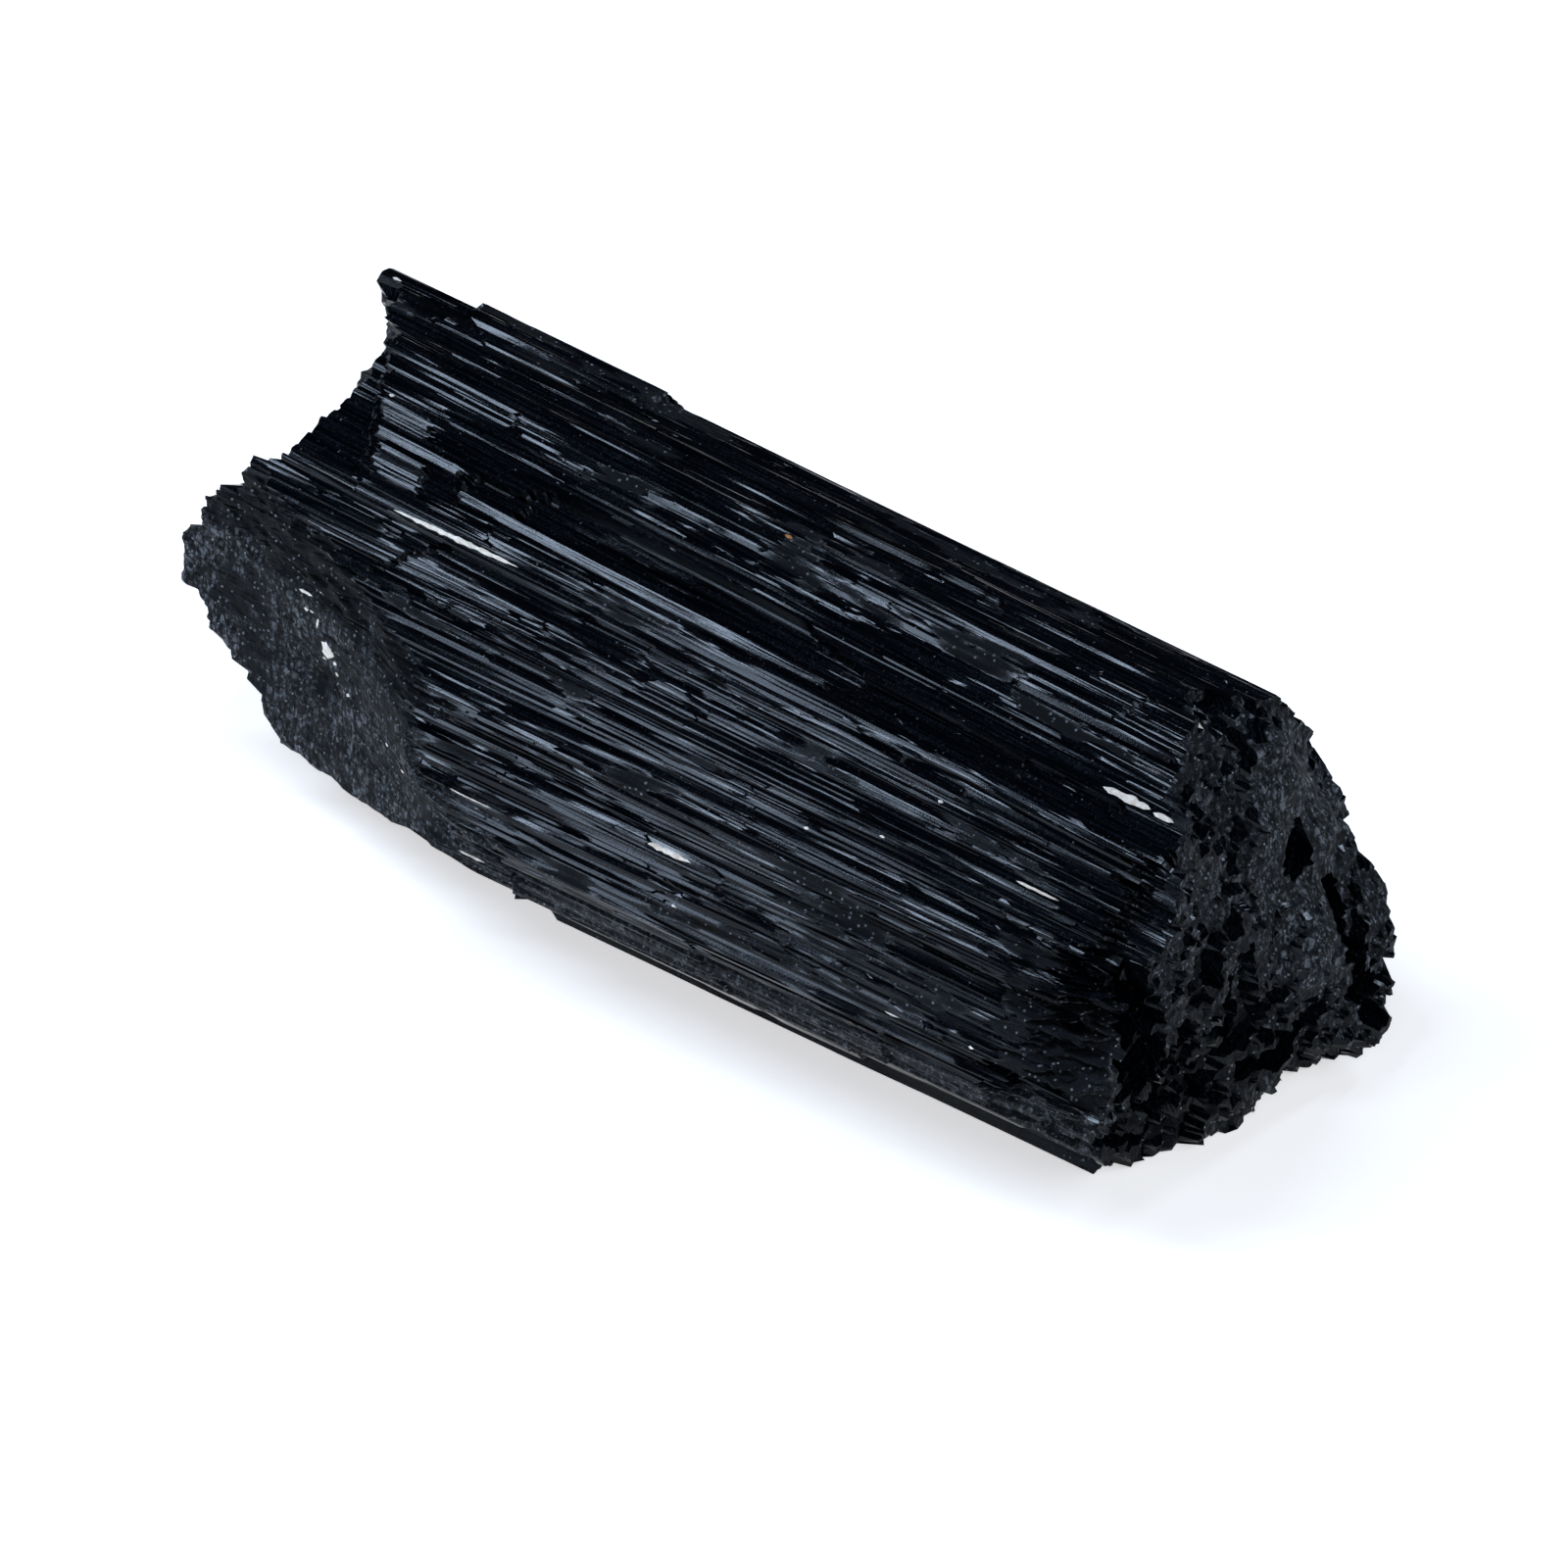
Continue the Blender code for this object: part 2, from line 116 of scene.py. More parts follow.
RIGHT_END = np.array([
    (2.5, 25.6, 27.4), (6.0, 24.8, 24.4), (9.5, 24.0, 28.4), (-0.5, 24.6, 28.4), (7.5, 22.0, 30.0),
    (3.6, 22.6, 26.6), (2.8, 20.2, 28.4), (8.0, 18.5, 30.6), (5.6, 17.0, 31.2), (10.0, 14.0, 31.8),
    (11.8, 20.8, 28.6), (13.8, 17.8, 28.0), (14.3, 13.5, 30.0), (14.45, 12.0, 31.0), (14.7, 9.2, 33.4),
    (13.8, 6.5, 35.0), (10.6, 3.0, 36.4),
    (9.2, 1.0, 35.8), (8.1, 0.4, 32.6), (5.5, 0.2, 31.6), (3.0, 0.2, 32.2), (0.0, 0.2, 33.0),
    (-4.0, 0.2, 31.4), (-8.3, 0.4, 29.0), (-13.0, 5.0, 32.0), (-14.4, 9.5, 32.8), (-12.3, 16.0, 32.6),
    (-3.5, 23.6, 31.6), (-8.0, 20.6, 33.6), (0.0, 13.0, 33.2), (-7.0, 12.0, 33.2), (7.0, 9.0, 34.4),
    (-1.5, 20.0, 31.8), (3.0, 4.0, 34.2),
])
# Hollows in each end: across and height of both ends of the hollow, its radius and its depth.
LEFT_HOLLOWS = [
    (3.0, 20.0, 5.5, 22.0, 1.6, 1.8),
    (-4.5, 9.0, -3.0, 5.5, 1.7, 2.0),
    (9.0, 12.0, 9.5, 16.0, 1.4, 1.6),
]
RIGHT_HOLLOWS = [
    (-9.5, 10.3, -9.5, 16.5, 1.8, 4.5),
    (-6.0, 4.2, -6.0, 9.6, 1.5, 5.5),
    (-0.4, 7.0, -0.4, 12.6, 1.0, 3.5),
    (0.8, 4.3, 4.6, 4.3, 1.3, 3.6),
    (9.9, 3.9, 9.9, 11.5, 0.9, 3.5),
    (7.6, 13.9, 7.6, 15.3, 1.0, 2.6),
]
BLOCK_SIZE = 2.9           # width of the blocks that the ends broke into
BLOCK_STEP = 1.6           # how far one block may stand before another

# Ledges, plates and losses on the prism faces: girth from and to, x of the left edge at both
# girths, x of the right edge at both girths, and height above the plain face at both girths. An x of
# 60 lies beyond the crystal's end.
NEAR_SIDE = [
    (0.0, 7.1, (-60, -60), (60, 60), (-0.45, -0.6)),
    (0.0, 7.1, (12.0, 14.0), (60, 60), (-0.3, -0.3)),
    (7.1, 12.2, (-60, -60), (-9.5, -9.8), (-0.75, -0.2)),
    (7.1, 12.2, (-9.5, -9.8), (60, 60), (-0.35, 0.0)),
    (7.1, 12.2, (6.0, 4.0), (60, 60), (-0.3, -0.1)),
    (7.1, 12.2, (17.0, 18.0), (60, 60), (-0.35, -0.15)),
    (7.1, 12.2, (24.0, 25.0), (60, 60), (-0.35, -0.1)),
    (12.2, 13.8, (-60, -60), (60, 60), (-0.1, -0.3)),
    (14.0, 17.6, (-60, -60), (60, 60), (0.4, 0.05)),
    (18.3, 19.0, (-19.6, -19.4), (-15.1, -14.9), (0.88, 0.82)),
    (19.0, 19.9, (-19.6, -19.4), (-15.1, -14.9), (0.12, 0.03)),
    (15.8, 17.4, (-18.2, -17.4), (6.0, 5.4), (0.3, 0.16)),
    (17.6, 19.0, (-60, -60), (60, 60), (-0.25, -0.4)),
    (19.0, 21.4, (-60, -60), (60, 60), (0.3, 0.1)),
    (21.4, 24.2, (-60, -60), (27.0, 28.0), (-0.05, 0.05)),
    (24.2, 27.6, (-24.0, -20.0), (60, 60), (-0.35, -0.45)),
    (27.6, 29.8, (-60, -60), (60, 60), (0.1, 0.05)),
    (29.7, 30.5, (-20.2, -20.8), (0.0, 14.0), (0.3, 0.52)),
    (30.5, 32.3, (-21.5, -20.5), (26.0, 27.0), (-0.45, -0.5)),
    (30.5, 32.3, (-17.5, -17.0), (20.0, 20.0), (-0.45, -0.45)),
    (32.3, 33.4, (-18.5, -15.5), (8.0, 3.0), (-0.75, -0.7)),
    (33.4, 35.2, (-17.0, -14.0), (60, 60), (0.05, 0.0)),
    (36.1, 36.6, (-11.5, -9.5), (28.0, 27.6), (0.25, 0.4)),
    (36.6, 39.4, (-60, -60), (23.0, 24.0), (0.1, 0.15)),
    (39.4, 41.2, (-60, -60), (60, 60), (-0.3, -0.15)),
    (41.2, 43.0, (-27.0, -29.0), (12.0, 6.0), (0.15, 0.2)),
    (43.0, 47.4, (-30.0, -31.0), (-17.0, -16.0), (0.45, 0.5)),
    # the thin plate at the upper left, and the lower ground that it leaves bare up to the rim
    (29.1, 30.9, (-26.4, -27.4), (-23.0, -23.6), (0.1, 0.5)),
    (31.4, 32.0, (-28.0, -28.2), (-21.8, -21.5), (0.15, 0.3)),
    (32.4, 33.6, (-28.4, -29.3), (-24.6, -25.2), (0.1, 0.4)),
    (28.0, 38.4, (-60, -60), (-26.9, -31.9), (-0.45, -0.35)),
]
# Terraces where the striated skin stops short of the right end.
TERRACES = [
    (9.0, 14.0, (25.2, 26.0), (60, 60), (-0.2, -0.8)),
    (14.0, 19.0, (28.2, 28.4), (60, 60), (-0.4, -1.0)),
    (19.0, 24.2, (28.9, 29.6), (60, 60), (-1.1, -0.9)),
    (24.2, 31.1, (29.9, 31.2), (60, 60), (-0.8, -0.7)),
    (14.0, 21.4, (30.6, 30.2), (60, 60), (-0.6, -1.2)),
]
NEAR_STOP = 47.4           # girth where the ribs of the hidden faces begin
FAR_RIB = (1.3, 3.1)       # least and greatest width of those ribs,
FAR_STAND = 0.4            # how much their edges stand in and out,
FAR_LEDGE = 0.55           # and the most that a rib loses or gains where it is broken
CHANNEL = (0.7, 1.4)       # least and greatest width of the channels in the face that it rests on,
CHANNELS_APART = (1.6, 3.4)  # the room between two of them,
CHANNELS_INSET = (1.2, 2.0)  # the room beside the first and the last,
CHANNEL_DEPTH = 0.35       # and their depth

# -------------------- the small relief (mm)

# Seeds of the random choices, one for each part of the crystal.
STRIAE_SEED = 21
CAP_SEED = 11
FAR_RIB_SEED = 4
LEFT_END_SEED = 7
RIGHT_END_SEED = 8
GRAIN_SEED = 5

STATIONS = 120             # points along each line
STATION_JITTER = 0.3       # how far they stray, as a share of their spacing
END_CROWDING = 0.5         # how much closer they stand near the ends than in the middle
BREAK = 0.09               # half the length of the slope where a stria or a plate breaks off,
BREAK_GROWTH = 0.12        # what it gains for each millimetre of height,
BREAK_ROOM = 0.1           # and how far it keeps from the crystal's ends
FIRST_GUESSES = (-34.0, 31.0)  # x where the search for a line's two ends starts,
GUESS_ROUNDS = 5           # and how often it is bettered
NEAR_START = 6.0           # girth where the near side begins
# Widths of the striae (from, to, share of them) on the near side and on the other faces.
NEAR_STRIAE = ((0.08, 0.13, 0.5), (0.13, 0.22, 0.4), (0.22, 0.45, 0.1))
FAR_STRIAE = ((0.3, 0.6, 0.5), (0.6, 1.0, 0.5))
LEAST_STRIA = 0.09         # no stria narrower than this is left beside a ledge or corner
STEP_WIDTHS = (0.05, 0.11)  # least and most width of the step between two striae
SINGLE_LINE = 0.17         # a stria narrower than this is one ridge or groove
STRIA_STAND = 0.085        # height of the striae above or below their face
STRIA_TILT = 9.0           # degrees; tilt of a stria about its own length
# Girth, and how bold the striae are there: faint on the bright facet and in the dark groove by it.
BOLDNESS = ((7.0, 2.2), (13.0, 2.2), (19.0, 1.8), (21.0, 1.0), (25.0, 0.65), (29.4, 0.8), (29.7, 0.25),
            (30.5, 0.15), (33.3, 0.15), (33.8, 1.15), (41.0, 1.1), (43.0, 0.8))
# Smooth spots, with hardly any striae: x, girth and their half-widths.
SMOOTH_SPOTS = np.array([
    (-17.3, 19.1, 2.6, 0.9),
    (-24.8, 30.0, 1.8, 1.0),
    (-25.2, 31.8, 3.2, 0.5),
    (-26.7, 33.0, 2.4, 0.7),
])
STRIA_LENGTHS = (8.0, 34.0)  # length over which a stria's height and tilt change
STRIA_BREAKS = 0.8         # breaks along each stria, on average
STRIA_RAGGED = 0.22        # how far the striae reach past each other on the cleaved face,
RAGGED_FADE = 0.35         # and how soon that ends away from its edge
WANDER = 0.17              # how far a stria's edge strays sideways
LEAN = 0.03                # sideways lean of the striae around the middle of the near side,
LEAN_ABOUT = (-5.0, 33.0, 8.0)  # with the x where it is nil, the girth where it is greatest and its spread
# Small raised and lost plates: how many, the girths they lie between, their widths, their lengths
# and how far they stand out or in at most.
SMALL_PLATES = (
    (60, (7.0, NEAR_STOP), (0.7, 1.8), (6.0, 34.0), 0.12),
    (100, (7.0, NEAR_STOP), (0.25, 0.8), (1.2, 14.0), 0.07),
    (90, (NEAR_STOP, FLOOR_FACE[0]), (0.6, 2.4), (3.0, 26.0), 0.16),
)
LEDGE_RAGGED = 0.2         # how far single striae overrun the ends of the ledges,
TERRACE_RAGGED = 0.9       # of the terraces
PLATE_RAGGED = 0.5         # and of the small plates
CHIPPED_FROM = 0.46        # how high the chips' noise has to be for the skin to be gone,
CHIPPED_EDGE = 7.0         # and how sharp the edge of such a patch is
CHIPPED_TOP = (44.6, 1.7, 0.42)  # girth and spread of a band with more chips, and how many more
CELL_SIZE = 0.85           # width of the little columns that the ends are broken into,
CELL_STEP = 0.7            # how far one may stand before another,
CELL_TILT = 0.14           # and the slope of their ends
ROUGH_CORNER = (-6.0, 5.0, 7.0, 6.0, 2.4)  # place and widths of a corner with longer columns and painted shade, and how much
CALM_SLAB = (9.0, 16.0, 5.6, 8.0)  # place and half-widths of the smooth slab on the right end, also painted paler as light on it
PIT = (-27.5, -10.2, 10.1, 1.3, 0.7)  # place, radius and depth of a pit in the cleaved face, which is also painted darker as shade
RIGHT_PITCH = 0.26         # spacing of the points on the broken ends
LEFT_PITCH = 0.5
# Girth below which the near side is matt, girth where that ends, and how matt it is.
MATT_UNDERSIDE = (10.2, 11.6, 0.8)
# The skin crumbles beyond this x and below this girth; each is followed by the length of the change.
CRUMBLING = (24.0, 3.5, 22.5, 3.0)
CRUMBLED_DEPTH = 0.45      # depth of the blocks that are missing there
SHARP_ABOVE = 12.0         # degrees between two faces from which their edge is sharp
END_FACING = 0.45          # a face that looks along X by more than this is part of a broken end
# Pale grains that stuck to the crystal or grew into it: x, across and height of the middle, length,
# width, and where they aren't 0, turn of the long side away from X in degrees and how brown the grain is.
GRAINS = (
    (-19.3, -6.8, 23.3, 9.3, 0.36),
    (-27.0, -9.5, 13.1, 1.6, 1.1, 80),
    (-28.9, -9.1, 16.3, 1.2, 0.3),
    (-27.8, -9.4, 14.7, 0.8, 0.22, 80),
    (-28.8, -9.3, 15.2, 0.35, 0.3),
    (-28.3, -9.3, 15.3, 0.35, 0.3),
    (-26.5, -9.8, 12.4, 0.4, 0.3),
    (-27.5, -9.6, 12.1, 0.35, 0.3),
    (-26.4, -9.9, 11.6, 0.35, 0.3),
    (-25.2, -10.2, 10.9, 0.35, 0.3),
    (-27.5, -8.9, 17.0, 0.4, 0.3),
    (-12.1, -14.6, 12.2, 3.2, 0.25),
    (-13.1, -13.5, 6.7, 2.0, 0.22),
    (-20.9, -11.7, 10.2, 0.4, 0.2),
    (-19.2, -12.3, 9.4, 0.4, 0.2),
    (26.0, 4.9, 24.1, 1.3, 0.5, 10, 0.1),
    (26.9, -3.3, 23.8, 3.4, 0.75, 0, 0.1),
    (29.6, -3.4, 23.7, 1.5, 0.5, 0, 0.1),
    (1.8, -13.7, 14.3, 3.3, 0.4, 0, 0.1),
    (24.8, -8.9, 19.5, 3.0, 0.25, 0, 0.2),
    (16.7, -7.3, 21.1, 0.4, 0.2),
    (9.8, -11.0, 18.2, 0.4, 0.2),
    (14.5, -10.0, 19.2, 0.4, 0.2),
    (24.4, -14.5, 11.4, 0.4, 0.2),
    (3.0, -14.7, 11.5, 0.4, 0.2),
    (18.8, -14.8, 11.2, 1.1, 0.2),
    (-1.5, 2.1, 26.2, 0.6, 0.4, 0, 1.0),
    (-29.0, -0.6, 25.8, 0.4, 0.3),
    (-36.2, 8.9, 25.6, 0.7, 0.3),
)
GRAIN_RING = 6             # points around a grain
GRAIN_PITCH = 0.3          # spacing of those rings along it
GRAIN_STAND = 0.5          # how thick a grain is for its width


def far_side_ribs(rng):
    """Ribs of random width on the faces that NEAR_SIDE doesn't reach."""
    whole = ((-60.0, -60.0), (60.0, 60.0))
    ribs = []
    start = NEAR_STOP
    while start < FLOOR_FACE[0] - FAR_RIB[0]:
        stop = min(start + rng.uniform(*FAR_RIB), FLOOR_FACE[0] - 0.3)
        ribs.append((start, stop, *whole, [rng.uniform(-FAR_STAND, FAR_STAND) for _ in range(2)]))
        left = rng.uniform(-30.0, 10.0)
        right = rng.choice([60.0, left + rng.uniform(8.0, 30.0)])
        skew = rng.uniform(-1.5, 1.5)
        stand = rng.uniform(-FAR_LEDGE, FAR_LEDGE)
        ribs.append((start, stop, (left, left + skew), (right, right + skew), (stand, stand)))
        start = stop
    start = FLOOR_FACE[0] + CHANNELS_INSET[0]
    while start < FLOOR_FACE[1] - CHANNELS_INSET[1]:
        stop = start + rng.uniform(*CHANNEL)
        left = rng.uniform(-60.0, 0.0)
        ribs.append((start, stop, (left, left + 1.0), whole[1], (-CHANNEL_DEPTH, -CHANNEL_DEPTH)))
        start = stop + rng.uniform(*CHANNELS_APART)
    return ribs


def block_centres(rng, size, step):
    """Places of the blocks on a broken end, each with its own set-back."""
    centres = []
    for row in range(-int(16 / size) - 1, int(16 / size) + 1):
        for column in range(-1, int(28 / size) + 1):
            across = (row + rng.uniform(0.15, 0.85)) * size
            height = (column + rng.uniform(0.15, 0.85)) * size
            centres.append((across, height, rng.uniform(-0.5, 0.5) * step))
    return np.array(centres)


def nearest_of(centres):
    """A search tree over the first two columns of a table."""
    tree = KDTree(len(centres))
    for k, centre in enumerate(centres):
        tree.insert((centre[0], centre[1], 0.0), k)
    tree.balance()
    return tree


def cut_limit(x, core, out_y, out_z, cut, bow=0.0):
    """Furthest that a ray from the core line reaches before it meets a cutting plane."""
    normal, point = cut
    room = normal[0] * (point[0] - x) + normal[1] * point[1] + normal[2] * (point[2] - core) + bow
    facing = normal[1] * out_y + normal[2] * out_z
    return np.where(facing > 0.05, room / np.maximum(facing, 0.05), np.inf)


def hollow_depth(place, hollows):
    """Depth of the hollows at each place of an end, steep-sided and flat in the middle."""
    depth = np.zeros(len(place))
    for y0, z0, y1, z1, radius, deep in hollows:
        run = np.array([y1 - y0, z1 - z0])
        along = np.clip((place - (y0, z0)) @ run / (run @ run), 0.0, 1.0)
        apart = np.linalg.norm(place - (y0, z0) - along[:, None] * run, axis=1)
        depth = np.maximum(depth, deep * np.clip(1.6 * (1.0 - apart / radius), 0.0, 1.0))
    return depth


def bump(place, hill):
    """A smooth hill over the section: its centre, its two widths and its height."""
    off = (place - hill[:2]) / hill[2:4]
    return hill[4] * np.exp(-(off ** 2).sum(axis=1))


def smooth_step(t):
    """A soft change from 0 to 1."""
    t = np.clip(t, 0.0, 1.0)
    return t * t * (3.0 - 2.0 * t)


class End:
    """One broken end: little columns, each with its own flat end at its own distance along X.

    outward is 1 at the right end, the only one with a smooth slab and a rough corner, and -1 at the left.
    """

    def __init__(self, guide, hollows, outward, seed):
        rng = random.Random(seed)
        blocks = block_centres(rng, BLOCK_SIZE, BLOCK_STEP)
        cells = block_centres(rng, CELL_SIZE, CELL_STEP)
        place = cells[:, :2]
        self.guide = guide
        self.outward = outward
        self.cells = place
        self.tree = nearest_of(cells)
        calm = self.calm(place) * (outward > 0)
        restless = 1.0 - 0.85 * calm
        corner = bump(place, ROUGH_CORNER) * (outward > 0)
        block_tree = nearest_of(blocks)
        block = np.array([blocks[block_tree.find((y, z, 0.0))[1], 2] for y, z in place])
        inside = self.from_guide(place)
        step = cells[:, 2] * (0.3 + 0.7 * inside) * restless * (1.0 + corner)
        reach = self.guided(place) + (block * inside * restless + step - 0.4 * corner)
        self.stand = reach - outward * hollow_depth(place, hollows)
        slope = np.array([[rng.gauss(0.0, CELL_TILT) for _ in range(2)] for _ in cells])
        self.slope = slope * restless[:, None] + self.general_slope(place) * calm[:, None]
        # random tone for each column, with painted light on the smooth slab and painted shade in the rough
        # corner's deep recesses
        pale = np.array([rng.uniform(0.1, 0.75) for _ in cells])
        self.pale = np.clip(pale * (1.0 - 0.6 * corner) + 0.3 * calm, 0.0, 1.0)

    def apart(self, place):
        """Distance of each place from each of the guide's points."""
        return np.linalg.norm(place[:, None, :] - self.guide[None, :, :2], axis=2)

    def guided(self, place):
        """How far the end reaches at each place by its guide alone."""
        weight = 1.0 / (self.apart(place) ** 3 + 0.6)
        return (weight * self.guide[:, 2]).sum(axis=1) / weight.sum(axis=1)

    def from_guide(self, place):
        """Share of the random steps at each place: the guide's own points stay where they are."""
        return np.clip(self.apart(place).min(axis=1) / 3.0, 0.25, 1.0)

    def general_slope(self, place):
        """Slope of the guide across and upward, which the smooth slab follows as one face."""
        pace = 0.5
        slopes = []
        for side in (0, 1):
            aside = place.copy()
            aside[:, side] += pace
            slopes.append((self.guided(aside) - self.guided(place)) / pace)
        return np.stack(slopes, axis=1)

    @staticmethod
    def calm(place):
        """How much each place belongs to the smooth slab."""
        off = (place - CALM_SLAB[:2]) / CALM_SLAB[2:]
        return np.exp(-(off ** 4).sum(axis=1))

    def cell_of(self, across, height):
        """Number of the column at each place."""
        return [self.tree.find((y, z, 0.0))[1] for y, z in zip(np.ravel(across), np.ravel(height))]

    def reach(self, across, height):
        """x of the end at each place."""
        place = np.stack([np.ravel(across), np.ravel(height)], axis=1)
        cell = self.cell_of(across, height)
        reach = self.stand[cell] + (self.slope[cell] * (place - self.cells[cell])).sum(axis=1)
        rough = [0.16 * noise.noise((y * 0.9, z * 0.9, self.outward))
                 + 0.1 * noise.noise((y * 2.3, z * 2.3, self.outward)) for y, z in place]
        return (reach + np.array(rough)).reshape(np.shape(across))

    def towards_wall(self, place, pitch, wall):
        """A place moved up to the wall of its column, if it is near one."""
        (own, _, own_apart), (other, _, other_apart) = self.tree.find_n((*place, 0.0), 2)
        apart = np.array((other - own).xy)
        width = np.linalg.norm(apart)
        room = (other_apart ** 2 - own_apart ** 2) / (2.0 * width)
        if room > 0.5 * pitch:
            return place
        return place + apart / width * (room - wall)


class Stria:
    """A strip between two girths, with its own height and tilt, which change along the crystal."""

    def __init__(self, low, high, rng):
        self.low = low
        self.high = high
        self.middle = 0.5 * (low + high)
        self.seed = rng.random()
        self.pace = 1.0 / rng.uniform(*STRIA_LENGTHS)
        self.boldness = float(np.interp(self.middle, *zip(*BOLDNESS)))
        steeper = min(1.6, 0.16 / (high - low) + 0.4)    # the narrower, the steeper
        self.tilt = self.boldness * math.tan(math.radians(STRIA_TILT)) * steeper
        self.ragged = rng.gauss(0.0, STRIA_RAGGED)
        self.steps = []
        for _ in range(int(rng.expovariate(1.0 / STRIA_BREAKS))):
            start = rng.uniform(-40.0, 36.0)
            stop = start + rng.uniform(1.5, 20.0)
            stand = rng.gauss(0.0, 0.3 * STRIA_STAND)
            self.steps.append((start, stop, stand, rng.gauss(0.0, 0.5 * self.tilt)))
        self.plates = []

    def relief(self, x, girth):
        """Height at each x of the line at this girth, apart from the breaks."""
        place = self.seed * 97.0
        relief = [self.boldness * STRIA_STAND * noise.noise((at * self.pace, place, 0.5))
                  + (girth - self.middle) * self.tilt * 2.0 * noise.noise((at * self.pace, place, 9.5))
                  for at in np.ravel(x)]
        return np.array(relief).reshape(np.shape(x))

    def add_plates(self, patches, ragged, rng, share=1.0):
        """Take in the patches that cross this stria, with its own ragged ends to each."""
        for low, high, left, right, full in patches:
            stand = (share * full[0], share * full[1])
            t = (self.middle - low) / (high - low)
            if 0.0 < t < 1.0:
                start = left[0] + (left[1] - left[0]) * t + rng.gauss(0.0, ragged)
                stop = right[0] + (right[1] - right[0]) * t + rng.gauss(0.0, ragged)
                self.plates.append((start, stop, low, high, stand))

    def spans(self, girth):
        """(from, to, height) along the line at this girth."""
        spans = []
        for start, stop, low, high, stand in self.plates:
            t = (girth - low) / (high - low)
            spans.append((start, stop, stand[0] + (stand[1] - stand[0]) * t))
        for start, stop, height, slope in self.steps:
            spans.append((start, stop, height + slope * (girth - self.middle)))
        return spans


def make_striae(rng, patches):
    """Strips all the way round, with an edge at each ledge and at each corner of the section."""
    edges = sorted({round(float(g), 3) for g in SECTION[:, 0]}
                   | {edge for patch in patches for edge in patch[:2] if edge < GIRTH})
    fixed = [edges[0]]
    for edge in edges[1:]:
        if edge - fixed[-1] > LEAST_STRIA:
            fixed.append(edge)
    striae = []
    for here, after in zip(fixed, fixed[1:]):
        widths = NEAR_STRIAE if NEAR_START < here < NEAR_STOP else FAR_STRIAE
        low = here
        while low < after:
            least, most, _ = rng.choices(widths, weights=[w[2] for w in widths])[0]
            high = low + rng.uniform(least, most)
            if high > after - LEAST_STRIA:
                high = after
            striae.append(Stria(low, high, rng))
            low = high
    return striae


def lines_of(stria, rng):
    """Girths of the lines that a stria needs: both edges, or the middle of a narrow one."""
    if stria.high - stria.low < SINGLE_LINE:
        return (stria.middle,)
    margins = [0.5 * rng.uniform(*STEP_WIDTHS) for _ in range(2)]
    return stria.low + margins[0], stria.high - margins[1]


def small_plates(rng, count, girths, width, length, stand):
    """Small raised and lost plates."""
    plates = []
    for _ in range(count):
        low = rng.uniform(girths[0], girths[1] - width[1])
        high = low + rng.uniform(*width)
        left = rng.uniform(-40.0, 36.0)
        right = left + rng.triangular(length[0], length[1], length[0])
        skew = [rng.gauss(0.0, 0.5) for _ in range(2)]
        edge = rng.uniform(-1.0, 1.0) * stand
        tilt = rng.uniform(-0.6, 0.6) * stand
        plates.append((low, high, (left, left + skew[0]), (right, right + skew[1]), (edge, edge + tilt)))
    return plates


def spans_height(spans, x):
    """Height that the plates and ledges give a line at each x."""
    height = np.zeros(np.shape(x))
    for start, stop, stand in spans:
        height = height + stand * ((x > start) & (x < stop))
    return height


def cleaved_shoulder(x, height):
    """How far the cleaved face stands out before its plane towards its upper and right edges."""
    rise = CLEAVED_RISE * smooth_step((x + 34.0) / 4.0) * smooth_step((height - 11.0) / 6.0)
    x0, z0, x_wide, z_wide, most = CLEAVED_SHOULDER
    return rise + most * np.exp(-((x - x0) / x_wide) ** 2 - ((height - z0) / z_wide) ** 2)


def side_point(x, girth, stand, ragged=0.0):
    """Across, height and cleaved share of the crystal's side at each x of one girth line."""
    scale = MID_SCALE - TAPER * x
    core = scale * CORE_HEIGHT
    across = np.interp(girth, SECTION[:, 0], SECTION[:, 1])
    height = np.interp(girth, SECTION[:, 0], SECTION[:, 2])
    reach = np.hypot(across, height - CORE_HEIGHT)
    out_y = across / reach
    out_z = (height - CORE_HEIGHT) / reach
    from_bow = x - CLEAVED[1][0]
    bow = CLEAVED_BOW * (np.hypot(from_bow, CLEAVED_RADIUS) - CLEAVED_RADIUS - from_bow)
    skin = scale * reach + stand
    bow = bow + cleaved_shoulder(x, core + out_z * skin)
    cleaved = cut_limit(x, core, out_y, out_z, CLEAVED, bow)
    under = cut_limit(x, core, out_y, out_z, UNDERCUT, np.interp(x, *zip(*UNDERCUT_STEPS)))
    floor = cut_limit(x, core, out_y, out_z, FLOOR)
    broken = np.minimum(cleaved, under)
    broken = broken + ragged * np.exp(-np.maximum(skin - broken, 0.0) / RAGGED_FADE)
    if np.ndim(x) and (broken < skin + 0.5).any():
        relief = [grainy(*place) for place in zip(x, out_y * broken, core + out_z * broken)]
        broken = broken + np.where(broken < skin + 0.5, relief, 0.0)
    radius = np.minimum.reduce([skin, broken, floor])
    return out_y * radius, core + out_z * radius, (broken < skin).astype(float)


